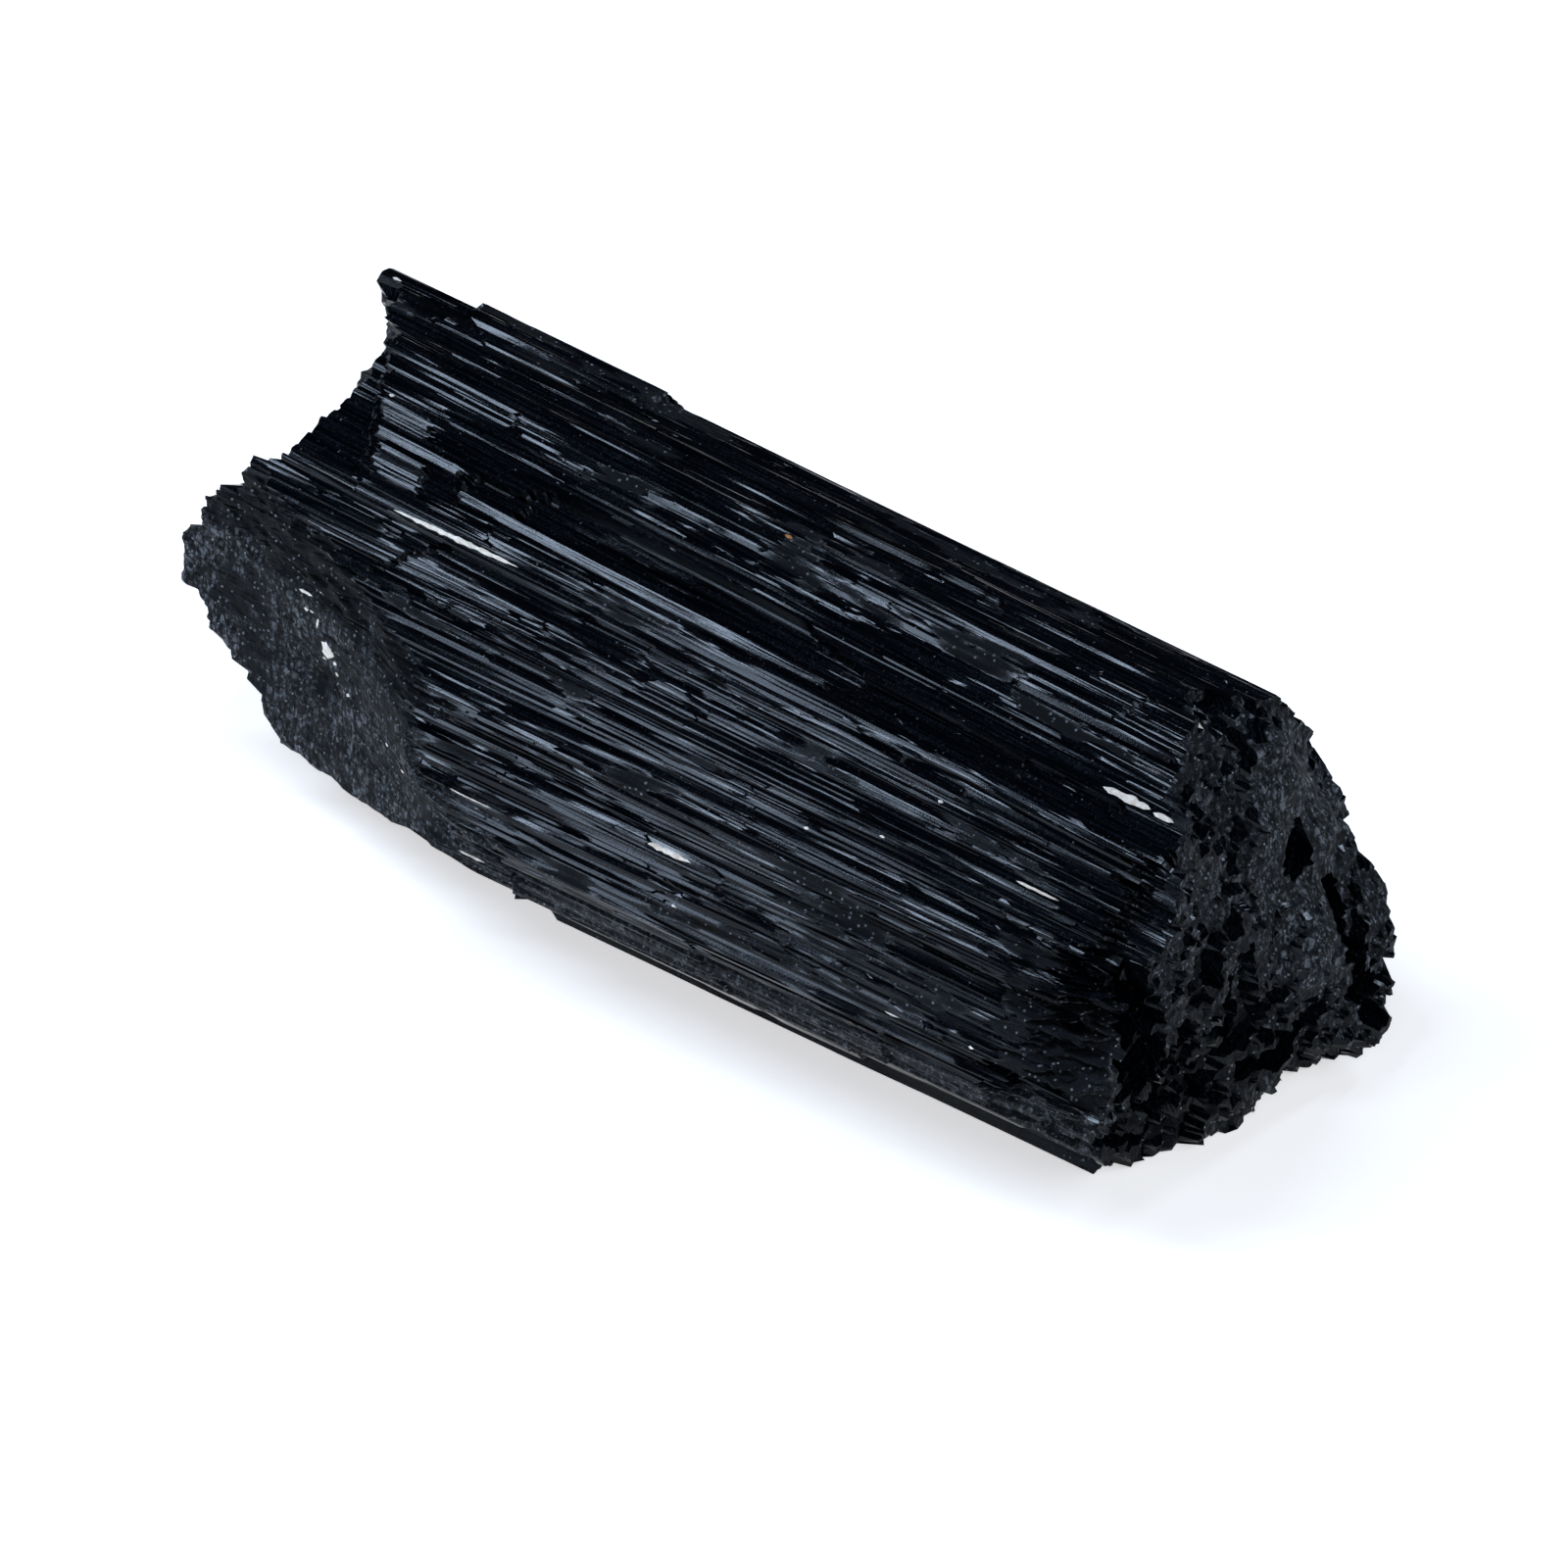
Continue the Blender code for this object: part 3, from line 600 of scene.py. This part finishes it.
def stations_between(start, stop, spans, seed):
    """Stations along one line, crowded towards both ends, with a pair at each break."""
    jitter = np.random.default_rng(int(seed * 1e6)).uniform(-STATION_JITTER, STATION_JITTER, STATIONS)
    share = (np.arange(STATIONS) + jitter) / (STATIONS - 1)
    share[0], share[-1] = 0.0, 1.0
    share -= END_CROWDING * np.sin(2.0 * np.pi * share) / (2.0 * np.pi)
    stations = start + (stop - start) * share
    taken = {0, STATIONS - 1}
    breaks = sorted({(edge, BREAK + BREAK_GROWTH * abs(span[2])) for span in spans for edge in span[:2]})
    for crossing, half in breaks:
        after = int(np.searchsorted(stations, crossing))
        pair = (after - 1, after)
        room = half + BREAK_ROOM
        if start + room < crossing < stop - room and not taken & set(pair):
            stations[pair[0]] = crossing - half
            stations[pair[1]] = crossing + half
            taken.update(pair)
    return np.sort(stations)


def inside_rim(across, height, rim, margin):
    """Whether a place is inside the rim by more than the margin."""
    ends = np.roll(rim, -1, axis=0)
    crosses = (rim[:, 1] > height) != (ends[:, 1] > height)
    rise = np.where(ends[:, 1] == rim[:, 1], 1.0, ends[:, 1] - rim[:, 1])
    at = rim[:, 0] + (height - rim[:, 1]) / rise * (ends[:, 0] - rim[:, 0])
    gap = np.hypot(rim[:, 0] - across, rim[:, 1] - height).min()
    return bool((crosses & (at > across)).sum() % 2) and gap > margin


def cap(rim, end, pitch, rng):
    """Points and triangles of a broken end. Triangles count the rim's points first."""
    inner = []
    taken = set()
    wall = 0.12 * pitch
    for across in np.arange(-16.0, 16.0, pitch):
        for height in np.arange(0.1, 28.0, pitch):
            place = np.array([across, height]) + rng.uniform(-0.4, 0.4, 2) * pitch
            place = end.towards_wall(place, pitch, wall)
            cell = (int(place[0] // (wall * 1.8)), int(place[1] // (wall * 1.8)))
            if cell not in taken and inside_rim(*place, rim, 0.35 * pitch):
                taken.add(cell)
                inner.append(place)
    inner = np.array(inner)
    places = [tuple(place) for place in np.vstack([rim, inner])]
    edges = [(k, (k + 1) % len(rim)) for k in range(len(rim))]
    made = geometry.delaunay_2d_cdt(places, edges, [], 1, 1e-7)
    faces = [[made[3][corner][0] for corner in face] for face in made[2]]
    points = np.column_stack([end.reach(inner[:, 0], inner[:, 1]), inner])
    return points, faces


def smoothness(x, girth):
    """How smooth the skin is at each x of one girth line, from 0 to 1."""
    place = np.stack([x, np.full_like(x, girth)], axis=1)
    off = (place[:, None, :] - SMOOTH_SPOTS[:, :2]) / SMOOTH_SPOTS[:, 2:]
    return np.exp(-(off ** 4).sum(axis=2)).max(axis=1)


def chipping(x, girth):
    """How far the glassy skin is chipped away, from 0 to 1, in patches drawn out along X."""
    value = noise.noise((x * 0.11, girth * 0.75, 3.7)) + 0.55 * noise.noise((x * 0.35, girth * 2.2, 9.1))
    middle, band, more = CHIPPED_TOP
    value += more * math.exp(-((girth - middle) / band) ** 2)
    value += 0.9 * crumbling(x, girth)
    return min(max((value - CHIPPED_FROM) * CHIPPED_EDGE, 0.0), 1.0)


def crumbling(x, girth):
    """Share of the lower corner beside the right end, where the skin is gone."""
    x_from, x_run, girth_from, girth_run = CRUMBLING
    return float(smooth_step((x - x_from) / x_run) * smooth_step((girth_from - girth) / girth_run))


def chip_depth(x, girth):
    """Depth of the small chips: one value for each little block, and some noise."""
    chip = abs(noise.cell((x * 2.1 + 40.0, girth * 3.3, 0.5)))
    block = crumbling(x, girth) * abs(noise.cell((x * 0.9 + 20.0, girth * 0.8, 4.5)))
    shallow = 0.01 + 0.05 * chip + 0.015 * noise.noise((x * 1.7, girth * 2.9, 5.0))
    return shallow + CRUMBLED_DEPTH * block


def grainy(x, across, height):
    """Relief of the cleaved face, in shallow steps and grains, with a pit and a rough upper corner."""
    broad = noise.noise((x * 0.35, across * 0.3, height * 0.35))
    steps = round(2.6 * noise.noise((x * 0.5, across * 0.2, height * 0.9 + 7.0))) * 0.09
    fine = noise.noise((x * 2.2, across * 2.2, height * 2.6))
    corner = rough_corner(x, height)
    chunks = corner * 0.4 * abs(noise.cell((x * 1.1 + 50.0, 0.5, height * 1.4)))
    hollow = PIT[4] * pit(x, across, height)
    return 0.14 * broad + steps + (0.05 + 0.1 * corner) * fine - 0.2 - chunks - hollow


def pit(x, across, height):
    """How deep a place is in the pit of the cleaved face, from 0 to 1."""
    return math.exp(-(math.dist((x, across, height), PIT[:3]) / PIT[3]) ** 4)


def rough_corner(x, height):
    """Share of the upper left corner of the cleaved face, which is dark and crumbled."""
    return float(smooth_step((height - 16.2 + 0.12 * (x + 34.0)) / 2.0))


def matt(girth):
    """Share of the matt surface in the skin, at a girth low on the near side."""
    full, none, _ = MATT_UNDERSIDE
    return float(smooth_step((none - girth) / (none - full))) if girth > NEAR_START else 0.0


def paleness(x, across, height):
    """How pale the cleaved face is, from 0 to 1, with painted shade in its pit."""
    blotches = 0.9 * noise.noise((x * 0.3, across * 0.3, height * 0.3 + 4.0))
    flecks = 0.7 * noise.noise((x * 1.3, across * 1.3, height * 1.3))
    # random pale blotches and flecks, darker in the upper left corner and, as painted shade, in the pit
    pale = 0.6 + blotches + flecks - 0.75 * rough_corner(x, height) - pit(x, across, height)
    return min(max(pale, 0.0), 1.0)


def line_points(girth, stria, left, right):
    """One line along the crystal: its points, and how chipped, cleaved and pale each one is."""
    spans = stria.spans(girth)

    def ending(guess, end):
        """Where the line meets a broken end, found step by step."""
        x = np.array(guess)
        for _ in range(GUESS_ROUNDS):
            across, height, _ = side_point(x, girth, spans_height(spans, x) + stria.relief(x, girth))
            x = 0.5 * (x + end.reach(across, height))
        return float(x)

    start, stop = (ending(guess, end) for guess, end in zip(FIRST_GUESSES, (left, right)))
    stations = stations_between(start, stop, spans, stria.seed)
    depth = np.array([chip_depth(x, girth) for x in stations])
    smooth = smoothness(stations, girth)
    chipped = np.array([chipping(x, girth) for x in stations]) * (1.0 - smooth) * min(1.0, stria.boldness)
    striation = (1.0 - 0.7 * chipped) * (1.0 - 0.85 * smooth) * stria.relief(stations, girth)
    stand = spans_height(spans, stations) + striation
    wander = np.array([WANDER * noise.noise((x * 0.06, girth * 1.9, 1.3)) for x in stations])
    upright, middle, band = LEAN_ABOUT
    lean = LEAN * (upright - stations) * math.exp(-((girth - middle) / band) ** 2)
    aside = girth + wander + lean
    across, height, cleaved = side_point(stations, aside, stand - chipped * depth, stria.ragged)
    places = zip(stations, across, height)
    pale = [paleness(*place) if broken else 0.5 for place, broken in zip(places, cleaved)]
    return stations, across, height, chipped, cleaved, pale


def inside_box(points):
    """Points moved into the solid's box, where a splinter or a rib would leave it."""
    low, high = (np.array(corner) / MM + (ORIGIN_X, 0.0, 0.0) for corner in CAD_BOX)
    return np.clip(points, low + BOX_MARGIN, high - BOX_MARGIN)


class Body:
    """Points and faces of the crystal, with what the material needs to know at each point."""

    def __init__(self):
        self.points = []
        self.faces = []
        self.values = {"girth": [], "chipped": [], "dull": [], "pale": []}

    def add_points(self, points, **values):
        """Take in points with their values, and give the numbers of those points."""
        numbers = list(range(len(self.points), len(self.points) + len(points)))
        self.points += points
        for key, column in values.items():
            self.values[key] += column
        return numbers


def all_striae(rng):
    """The striae all the way round, each with the ledges, terraces and small plates that cross it."""
    ledges = NEAR_SIDE + far_side_ribs(random.Random(FAR_RIB_SEED))
    plates = [plate for kind in SMALL_PLATES for plate in small_plates(rng, *kind)]
    striae = make_striae(rng, ledges + TERRACES)
    for stria in striae:
        stria.add_plates(ledges, LEDGE_RAGGED, rng)
        stria.add_plates(TERRACES, TERRACE_RAGGED, rng)
        stria.add_plates(plates, PLATE_RAGGED, rng, min(1.0, stria.boldness))
        yield stria


def add_side(body, rng, left, right):
    """The striated and cleaved faces, as rows of points along the crystal. Gives those rows."""
    rows = []
    for stria in all_striae(rng):
        for girth in lines_of(stria, rng):
            x, across, height, chipped, cleaved, pale = line_points(girth, stria, left, right)
            dull = np.maximum(cleaved, MATT_UNDERSIDE[2] * matt(girth))
            rows.append(body.add_points(list(zip(x, across, height)), girth=[girth] * STATIONS,
                                        chipped=list(chipped), dull=list(dull), pale=pale))
    for row, after in zip(rows, rows[1:] + rows[:1]):
        for k in range(STATIONS - 1):
            body.faces.append((row[k], row[k + 1], after[k + 1], after[k]))
    return rows


def add_cap(body, rim, end, pitch, rng):
    """A broken end, between the points of its rim."""
    inner, triangles = cap(np.array([body.points[k][1:] for k in rim]), end, pitch, rng)
    x, across, height = inner.T
    girth = list(20.0 + x + height)    # lays the skin's fine lines across the end
    plain = [0.0] * len(inner)
    pale = list(end.pale[end.cell_of(across, height)])
    added = body.add_points(list(zip(x, across, height)), girth=girth, chipped=plain, dull=plain, pale=pale)
    index = rim + added
    body.faces += [tuple(index[corner] for corner in face) for face in triangles]


def crystal_mesh():
    """The whole crystal as one closed mesh."""
    left = End(LEFT_END, LEFT_HOLLOWS, -1.0, LEFT_END_SEED)
    right = End(RIGHT_END, RIGHT_HOLLOWS, 1.0, RIGHT_END_SEED)
    body = Body()
    rows = add_side(body, random.Random(STRIAE_SEED), left, right)
    rng = np.random.default_rng(CAP_SEED)
    add_cap(body, [row[0] for row in rows], left, LEFT_PITCH, rng)
    add_cap(body, [row[-1] for row in rows], right, RIGHT_PITCH, rng)
    return inside_box(body.points), body.faces, body.values


def new_object(name, data):
    """A new object in the scene."""
    made = bpy.data.objects.new(name, data)
    bpy.context.scene.collection.objects.link(made)
    return made


def mesh_object(name, points, faces, values):
    """An object with its faces turned outward and named values at its points."""
    data = bpy.data.meshes.new(name)
    data.from_pydata([((x - ORIGIN_X) * MM, y * MM, z * MM) for x, y, z in points], [], faces)
    for key, numbers in values.items():
        layer = data.attributes.new(key, "FLOAT", "POINT")
        layer.data.foreach_set("value", np.array(numbers, dtype=np.float32))
    mesh = bmesh.new()
    mesh.from_mesh(data)
    bmesh.ops.triangulate(mesh, faces=mesh.faces[:])
    bmesh.ops.recalc_face_normals(mesh, faces=mesh.faces[:])
    mesh.to_mesh(data)
    mesh.free()
    broken = data.attributes.new("broken", "FLOAT", "FACE")
    facing = np.zeros(len(data.polygons) * 3)
    data.polygons.foreach_get("normal", facing)
    broken.data.foreach_set("value", (np.abs(facing[::3]) > END_FACING).astype(np.float32))
    data.shade_smooth()
    data.set_sharp_from_angle(angle=math.radians(SHARP_ABOVE))
    return new_object(name, data)


def grain_body(surface, rng, middle, length, width, turn):
    """One grain: lumpy rings along a line on the crystal, closed by a tip at each end."""
    _, up, _, _ = surface.find_nearest(middle)
    along = Vector((1.0, 0.0, 0.0))
    along = (along - up * along.dot(up)).normalized()
    along.rotate(Matrix.Rotation(math.radians(turn), 3, up))
    aside = up.cross(along)
    count = max(3, round(length / GRAIN_PITCH))
    points = []
    for k in range(count + 1):
        share = k / count
        centre = surface.find_nearest(middle + along * (share - 0.5) * length)[0]
        if k in (0, count):
            points.append(centre)
            continue
        fat = 0.5 * width * math.sin(math.pi * share) ** 0.5 * rng.uniform(0.65, 1.1)
        for corner in range(GRAIN_RING):
            angle = math.tau * corner / GRAIN_RING
            radius = fat * rng.uniform(0.75, 1.15)
            rise = GRAIN_STAND * radius * math.sin(angle)
            points.append(centre + aside * radius * math.cos(angle) + up * rise)
    last = len(points) - 1
    faces = []
    for corner in range(GRAIN_RING):
        after = (corner + 1) % GRAIN_RING
        faces.append((0, 1 + after, 1 + corner))
        for start in range(1, last - GRAIN_RING, GRAIN_RING):
            beyond = start + GRAIN_RING
            faces.append((start + corner, start + after, beyond + after, beyond + corner))
        faces.append((last, last - GRAIN_RING + corner, last - GRAIN_RING + after))
    return points, faces


def grains_mesh(surface):
    """All the pale grains as one mesh of closed bodies."""
    rng = random.Random(GRAIN_SEED)
    points, faces, brown = [], [], []
    for x, across, height, length, width, *rest in GRAINS:
        turn, stain = (*rest, 0.0, 0.0)[:2]
        body, sides = grain_body(surface, rng, Vector((x, across, height)), length, width, turn)
        faces += [tuple(len(points) + corner for corner in side) for side in sides]
        points += [tuple(point) for point in body]
        brown += [stain] * len(body)
    return inside_box(points), faces, {"brown": brown}


# -------------------- materials

# Scales of the patterns are repeats for each metre. Colours are linear.
SKIN = (0.0006, 0.0009, 0.0018, 1.0)       # glassy skin of the striated faces,
SKIN_PAINTED_LINES = (0.011, 0.014, 0.020, 1.0)    # and the thin lines in it, painted highlights along the striae
DULL_DARK = (0.0015, 0.0020, 0.0030, 1.0)  # broken and cleaved faces, from their dark cracks, which hold painted shade,
DULL_PALE = (0.125, 0.140, 0.165, 1.0)     # to their pale leaves
PAINTED_GLINTS = (0.14, 0.155, 0.18, 1.0)            # small specks all over, painted glints of the rough stone,
PAINTED_BRIGHT_GLINTS = (0.30, 0.34, 0.38, 1.0)            # and fewer and paler painted glints
CREAM = ((0.70, 0.65, 0.56, 1.0), (1.0, 0.98, 0.93, 1.0))
BROWN_STAIN = (0.42, 0.17, 0.05, 1.0)
SKIN_ROUGHNESS = (0.05, 0.12)
CHIP_ROUGHNESS = 0.7
DULL_ROUGHNESS = (0.9, 0.6)


def new_material(name):
    material = bpy.data.materials.new(name)
    material.use_nodes = True
    return material, material.node_tree, material.node_tree.nodes["Principled BSDF"]


def feed(tree, node, inputs):
    """Give a node's inputs plain values or other nodes' outputs."""
    for key, value in inputs.items():
        if isinstance(value, bpy.types.NodeSocket):
            tree.links.new(value, node.inputs[key])
        else:
            node.inputs[key].default_value = value


def add(tree, kind, inputs, **settings):
    """A new shader node with these inputs and properties."""
    node = tree.nodes.new("ShaderNode" + kind)
    for key, value in settings.items():
        setattr(node, key, value)
    feed(tree, node, inputs)
    return node


def mixed(tree, factor, first, second, kind="FLOAT"):
    """Between two numbers, or two colours where the kind is RGBA."""
    a, b, result = {"FLOAT": (2, 3, 0), "RGBA": (6, 7, 2)}[kind]
    return add(tree, "Mix", {0: factor, a: first, b: second}, data_type=kind).outputs[result]


def spread(tree, value, low, high, to_low=0.0, to_high=1.0):
    """Values from low to high, moved to others and held within them."""
    inputs = {"Value": value, "From Min": low, "From Max": high, "To Min": to_low, "To Max": to_high}
    return add(tree, "MapRange", inputs).outputs["Result"]


def between(tree, share, low, high):
    """The number at this share of the way from low to high."""
    return spread(tree, share, 0.0, 1.0, low, high)


def product(tree, first, second):
    return add(tree, "Math", {0: first, 1: second}, operation="MULTIPLY").outputs[0]


def larger(tree, first, second):
    return add(tree, "Math", {0: first, 1: second}, operation="MAXIMUM").outputs[0]


def noise_of(tree, vector, scale, detail, rough):
    inputs = {"Vector": vector, "Scale": scale, "Detail": detail, "Roughness": rough}
    return add(tree, "TexNoise", inputs).outputs["Fac"]


def attribute(tree, name):
    """A value that the mesh carries at its points or faces."""
    return add(tree, "Attribute", {}, attribute_name=name).outputs["Fac"]


def object_place(tree):
    return add(tree, "TexCoord", {}).outputs["Object"]


def bumped(tree, height, distance, strength, under=None):
    """A bumped normal, over another one if there is one."""
    inputs = {"Height": height, "Distance": distance, "Strength": strength}
    if under:
        inputs["Normal"] = under
    return add(tree, "Bump", inputs).outputs["Normal"]


def cracks(tree, place, scale, width):
    """Thin crooked cracks with painted shade in them: dark along the edges of warped Voronoi cells, 1
    elsewhere.
    """
    warp = add(tree, "TexNoise", {"Scale": 1.7 * scale, "Vector": place})
    inputs = {0: warp.outputs["Color"], 1: [0.9 / scale] * 3, 2: place}
    moved = add(tree, "VectorMath", inputs, operation="MULTIPLY_ADD")
    inputs = {"Scale": scale, "Vector": moved.outputs["Vector"]}
    cells = add(tree, "TexVoronoi", inputs, feature="DISTANCE_TO_EDGE")
    return spread(tree, cells.outputs["Distance"], 0.0, width)


def specks(tree, place, scale, size, share):
    """Mask of small round specks, one in some of the cells of a Voronoi pattern."""
    cells = add(tree, "TexVoronoi", {"Scale": scale, "Vector": place})
    lot = add(tree, "SeparateColor", {0: cells.outputs["Color"]})
    round_spot = spread(tree, cells.outputs["Distance"], 0.7 * size, size, 1.0, 0.0)
    return product(tree, round_spot, spread(tree, lot.outputs[0], 1.0 - share, 1.01 - share))


def along_striae(tree, place):
    """A place for noise that is long along X and narrow around the girth."""
    apart = add(tree, "SeparateXYZ", {0: place})
    x = product(tree, apart.outputs["X"], 110.0)
    around = product(tree, attribute(tree, "girth"), 6.0)
    return add(tree, "CombineXYZ", {"X": x, "Y": around}).outputs[0]


def stone_colour(tree, place, fine, powder, mottle, dull, rough):
    """Near-black skin with thin lines painted in as highlights, leafy grey where the stone is broken, with
    painted shade in its dark cracks, and pale specks painted in as glints.
    """
    # thin lighter lines in the skin's colour: painted highlights along the striae
    thin = product(tree, spread(tree, fine, 0.46, 0.66), spread(tree, powder, 0.4, 0.62))
    skin = mixed(tree, thin, SKIN, SKIN_PAINTED_LINES, "RGBA")
    upright = add(tree, "VectorMath", {0: place, 1: (3600.0, 3600.0, 1000.0)}, operation="MULTIPLY")
    leaves = spread(tree, noise_of(tree, upright.outputs["Vector"], 1.0, 4.0, 0.7), 0.45, 0.60, 0.0, 1.8)
    leafy = product(tree, leaves, spread(tree, mottle, 0.36, 0.58, 0.2, 1.0))
    # darker along the cracks: the stone's own cracks with painted shade in them
    pale = product(tree, product(tree, leafy, cracks(tree, place, 1500.0, 0.22)), attribute(tree, "pale"))
    plain = mixed(tree, dull, skin, mixed(tree, pale, DULL_DARK, DULL_PALE, "RGBA"), "RGBA")
    # specks that grow with chipping and breaking: painted glints, the sparkle of the rough stone
    painted_glint_mask = product(tree, specks(tree, place, 2600.0, 0.27, 0.4), between(tree, rough, 0.05, 1.0))
    spots = product(tree, specks(tree, place, 1500.0, 0.11, 0.3), between(tree, rough, 0.25, 1.0))
    return mixed(tree, spots, mixed(tree, painted_glint_mask, plain, PAINTED_GLINTS, "RGBA"), PAINTED_BRIGHT_GLINTS, "RGBA")


def tourmaline():
    """Near-black glassy stone with lengthwise striae; dull, granular and paler where it broke."""
    material, tree, shader = new_material("black_tourmaline")
    place = object_place(tree)
    chipped = attribute(tree, "chipped")
    dull = larger(tree, attribute(tree, "dull"), attribute(tree, "broken"))
    rough = larger(tree, chipped, dull)
    along = along_striae(tree, place)
    fine = noise_of(tree, along, 1.0, 2.0, 0.6)
    bands = noise_of(tree, along, 0.17, 2.0, 0.6)
    grain = noise_of(tree, place, 3400.0, 4.0, 0.7)
    powder = noise_of(tree, place, 9000.0, 2.0, 0.6)
    mottle = noise_of(tree, place, 1300.0, 4.0, 0.7)

    unbroken = mixed(tree, chipped, spread(tree, bands, 0.3, 0.7, *SKIN_ROUGHNESS), CHIP_ROUGHNESS)
    striae = bumped(tree, fine, 0.00005, between(tree, rough, 0.30, 0.0))
    dusted = bumped(tree, powder, 0.00003, between(tree, rough, 0.1, 1.0), striae)
    feed(tree, shader, {
        "Base Color": stone_colour(tree, place, fine, powder, mottle, dull, rough),
        "Roughness": mixed(tree, dull, unbroken, spread(tree, mottle, 0.3, 0.7, *DULL_ROUGHNESS)),
        "IOR": 1.64,
        "Specular IOR Level": 0.13,
        "Specular Tint": (0.88, 0.94, 1.0, 1.0),
        "Normal": bumped(tree, grain, 0.0002, between(tree, rough, 0.0, 0.8), dusted),
    })
    return material


def pale_mineral():
    """Cream feldspar or mica: a little uneven, with one brown stained grain."""
    material, tree, shader = new_material("pale_mineral")
    blotches = spread(tree, noise_of(tree, object_place(tree), 2600.0, 3.0, 0.6), 0.35, 0.6)
    cream = mixed(tree, blotches, *CREAM, "RGBA")
    feed(tree, shader, {
        "Base Color": mixed(tree, attribute(tree, "brown"), cream, BROWN_STAIN, "RGBA"),
        "Roughness": between(tree, blotches, 0.7, 0.4),
    })
    return material


# -------------------- stage, lights and camera

CAMERA_AZIMUTH = 37.4
CAMERA_ELEVATION = 38.0
CAMERA_LENS = 300.0
CAMERA_DISTANCE = 0.7667
CAMERA_AIM = (3.7, 0.0, 13.0)  # mm; and how far the view's middle lies from it, right and up
CAMERA_OFFSET = (-1.93, -1.58)
CLIPPING = (0.05, 20.0)

COOL = (0.70, 0.82, 1.0)
PALE = (0.84, 0.92, 1.0)
FLOOR_SIDE = 3.0
FLOOR_DROP = 0.00002       # the floor lies this far below the crystal


def add_camera():
    a, e = math.radians(CAMERA_AZIMUTH), math.radians(CAMERA_ELEVATION)
    back = Vector((math.sin(a) * math.cos(e), -math.cos(a) * math.cos(e), math.sin(e)))
    right = Vector((math.cos(a), math.sin(a), 0.0))
    up = back.cross(right)
    data = bpy.data.cameras.new("camera")
    data.lens = CAMERA_LENS
    data.clip_start, data.clip_end = CLIPPING
    camera = new_object("camera", data)
    aim = Vector(CAMERA_AIM) + right * CAMERA_OFFSET[0] + up * CAMERA_OFFSET[1]
    camera.location = aim * MM + back * CAMERA_DISTANCE
    camera.rotation_euler = Matrix((right, up, back)).transposed().to_euler()
    bpy.context.scene.camera = camera


def add_light(name, towards, distance, size, radiance, colour):
    """A rectangular softbox in the given direction from the crystal, facing it."""
    data = bpy.data.lights.new(name, "AREA")
    data.shape = "RECTANGLE"
    data.size, data.size_y = size
    data.energy = math.pi * size[0] * size[1] * radiance
    data.color = colour
    light = new_object(name, data)
    direction = Vector(towards).normalized()
    light.location = direction * distance + Vector((0.0, 0.0, CAMERA_AIM[2] * MM))
    light.rotation_euler = direction.to_track_quat("Z", "X").to_euler()


def girth_direction(angle):
    """Where the camera's view goes that is mirrored by a long face turned upward by this angle from -Y."""
    mirrored_x = -0.4786           # the same for all faces along X
    camera_angle = 44.7            # degrees from -Y to the camera, seen along X
    mirrored = math.radians(2.0 * angle - camera_angle)
    rest = math.sqrt(1.0 - mirrored_x ** 2)
    return mirrored_x, -math.cos(mirrored) * rest, math.sin(mirrored) * rest


def add_lights():
    """Narrow strips that make the long highlights, and soft boxes for both ends and the back."""
    add_light("left_strip", girth_direction(59.0), 0.5, (0.40, 0.045), 24.5, COOL)
    add_light("left_halo", girth_direction(59.0), 0.51, (0.40, 0.08), 1.9, COOL)
    add_light("low_front", girth_direction(29.0), 0.5, (0.40, 0.04), 11.5, COOL)
    add_light("back_strip", (0.1, 0.75, 0.65), 0.8, (0.3, 0.07), 14.0, COOL)
    add_light("right_back", (0.8, 0.35, 0.75), 0.8, (0.6, 0.6), 1.7, PALE)
    add_light("right_front", (0.7, -0.7, 0.7), 0.8, (0.6, 0.6), 1.3, PALE)


def floor_material():
    """White lit table: it glows a little, so that shadows on it stay faint."""
    material, tree, shader = new_material("pale_floor")
    feed(tree, shader, {
        "Base Color": (0.9, 0.9, 0.9, 1.0),
        "Roughness": 0.9,
        "Emission Color": (1.0, 0.98, 0.98, 1.0),
        "Emission Strength": 0.56,
    })
    return material


def add_stage():
    floor = bpy.data.meshes.new("floor")
    corners = [(x * FLOOR_SIDE, y * FLOOR_SIDE, 0.0) for x, y in ((-1, -1), (1, -1), (1, 1), (-1, 1))]
    floor.from_pydata(corners, [], [(0, 1, 2, 3)])
    floor.materials.append(floor_material())
    plane = new_object("floor", floor)
    plane.location.z = -FLOOR_DROP
    world = bpy.data.worlds.new("studio")
    world.use_nodes = True
    tree = world.node_tree
    feed(tree, tree.nodes["Background"], {"Color": (0.7, 0.85, 1.0, 1.0), "Strength": 0.015})
    bpy.context.scene.world = world
    bpy.context.scene.view_settings.view_transform = "Standard"


def main():
    add_camera()
    points, sides, values = crystal_mesh()
    crystal = mesh_object("crystal", points, sides, values)
    crystal.data.materials.append(tourmaline())
    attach(crystal, "root")
    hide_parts(NODE)
    surface = BVHTree.FromPolygons([Vector(point) for point in points], sides)
    grains = mesh_object("pale_grains", *grains_mesh(surface))
    grains.data.materials.append(pale_mineral())
    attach(grains, "root")
    add_stage()
    add_lights()


main()
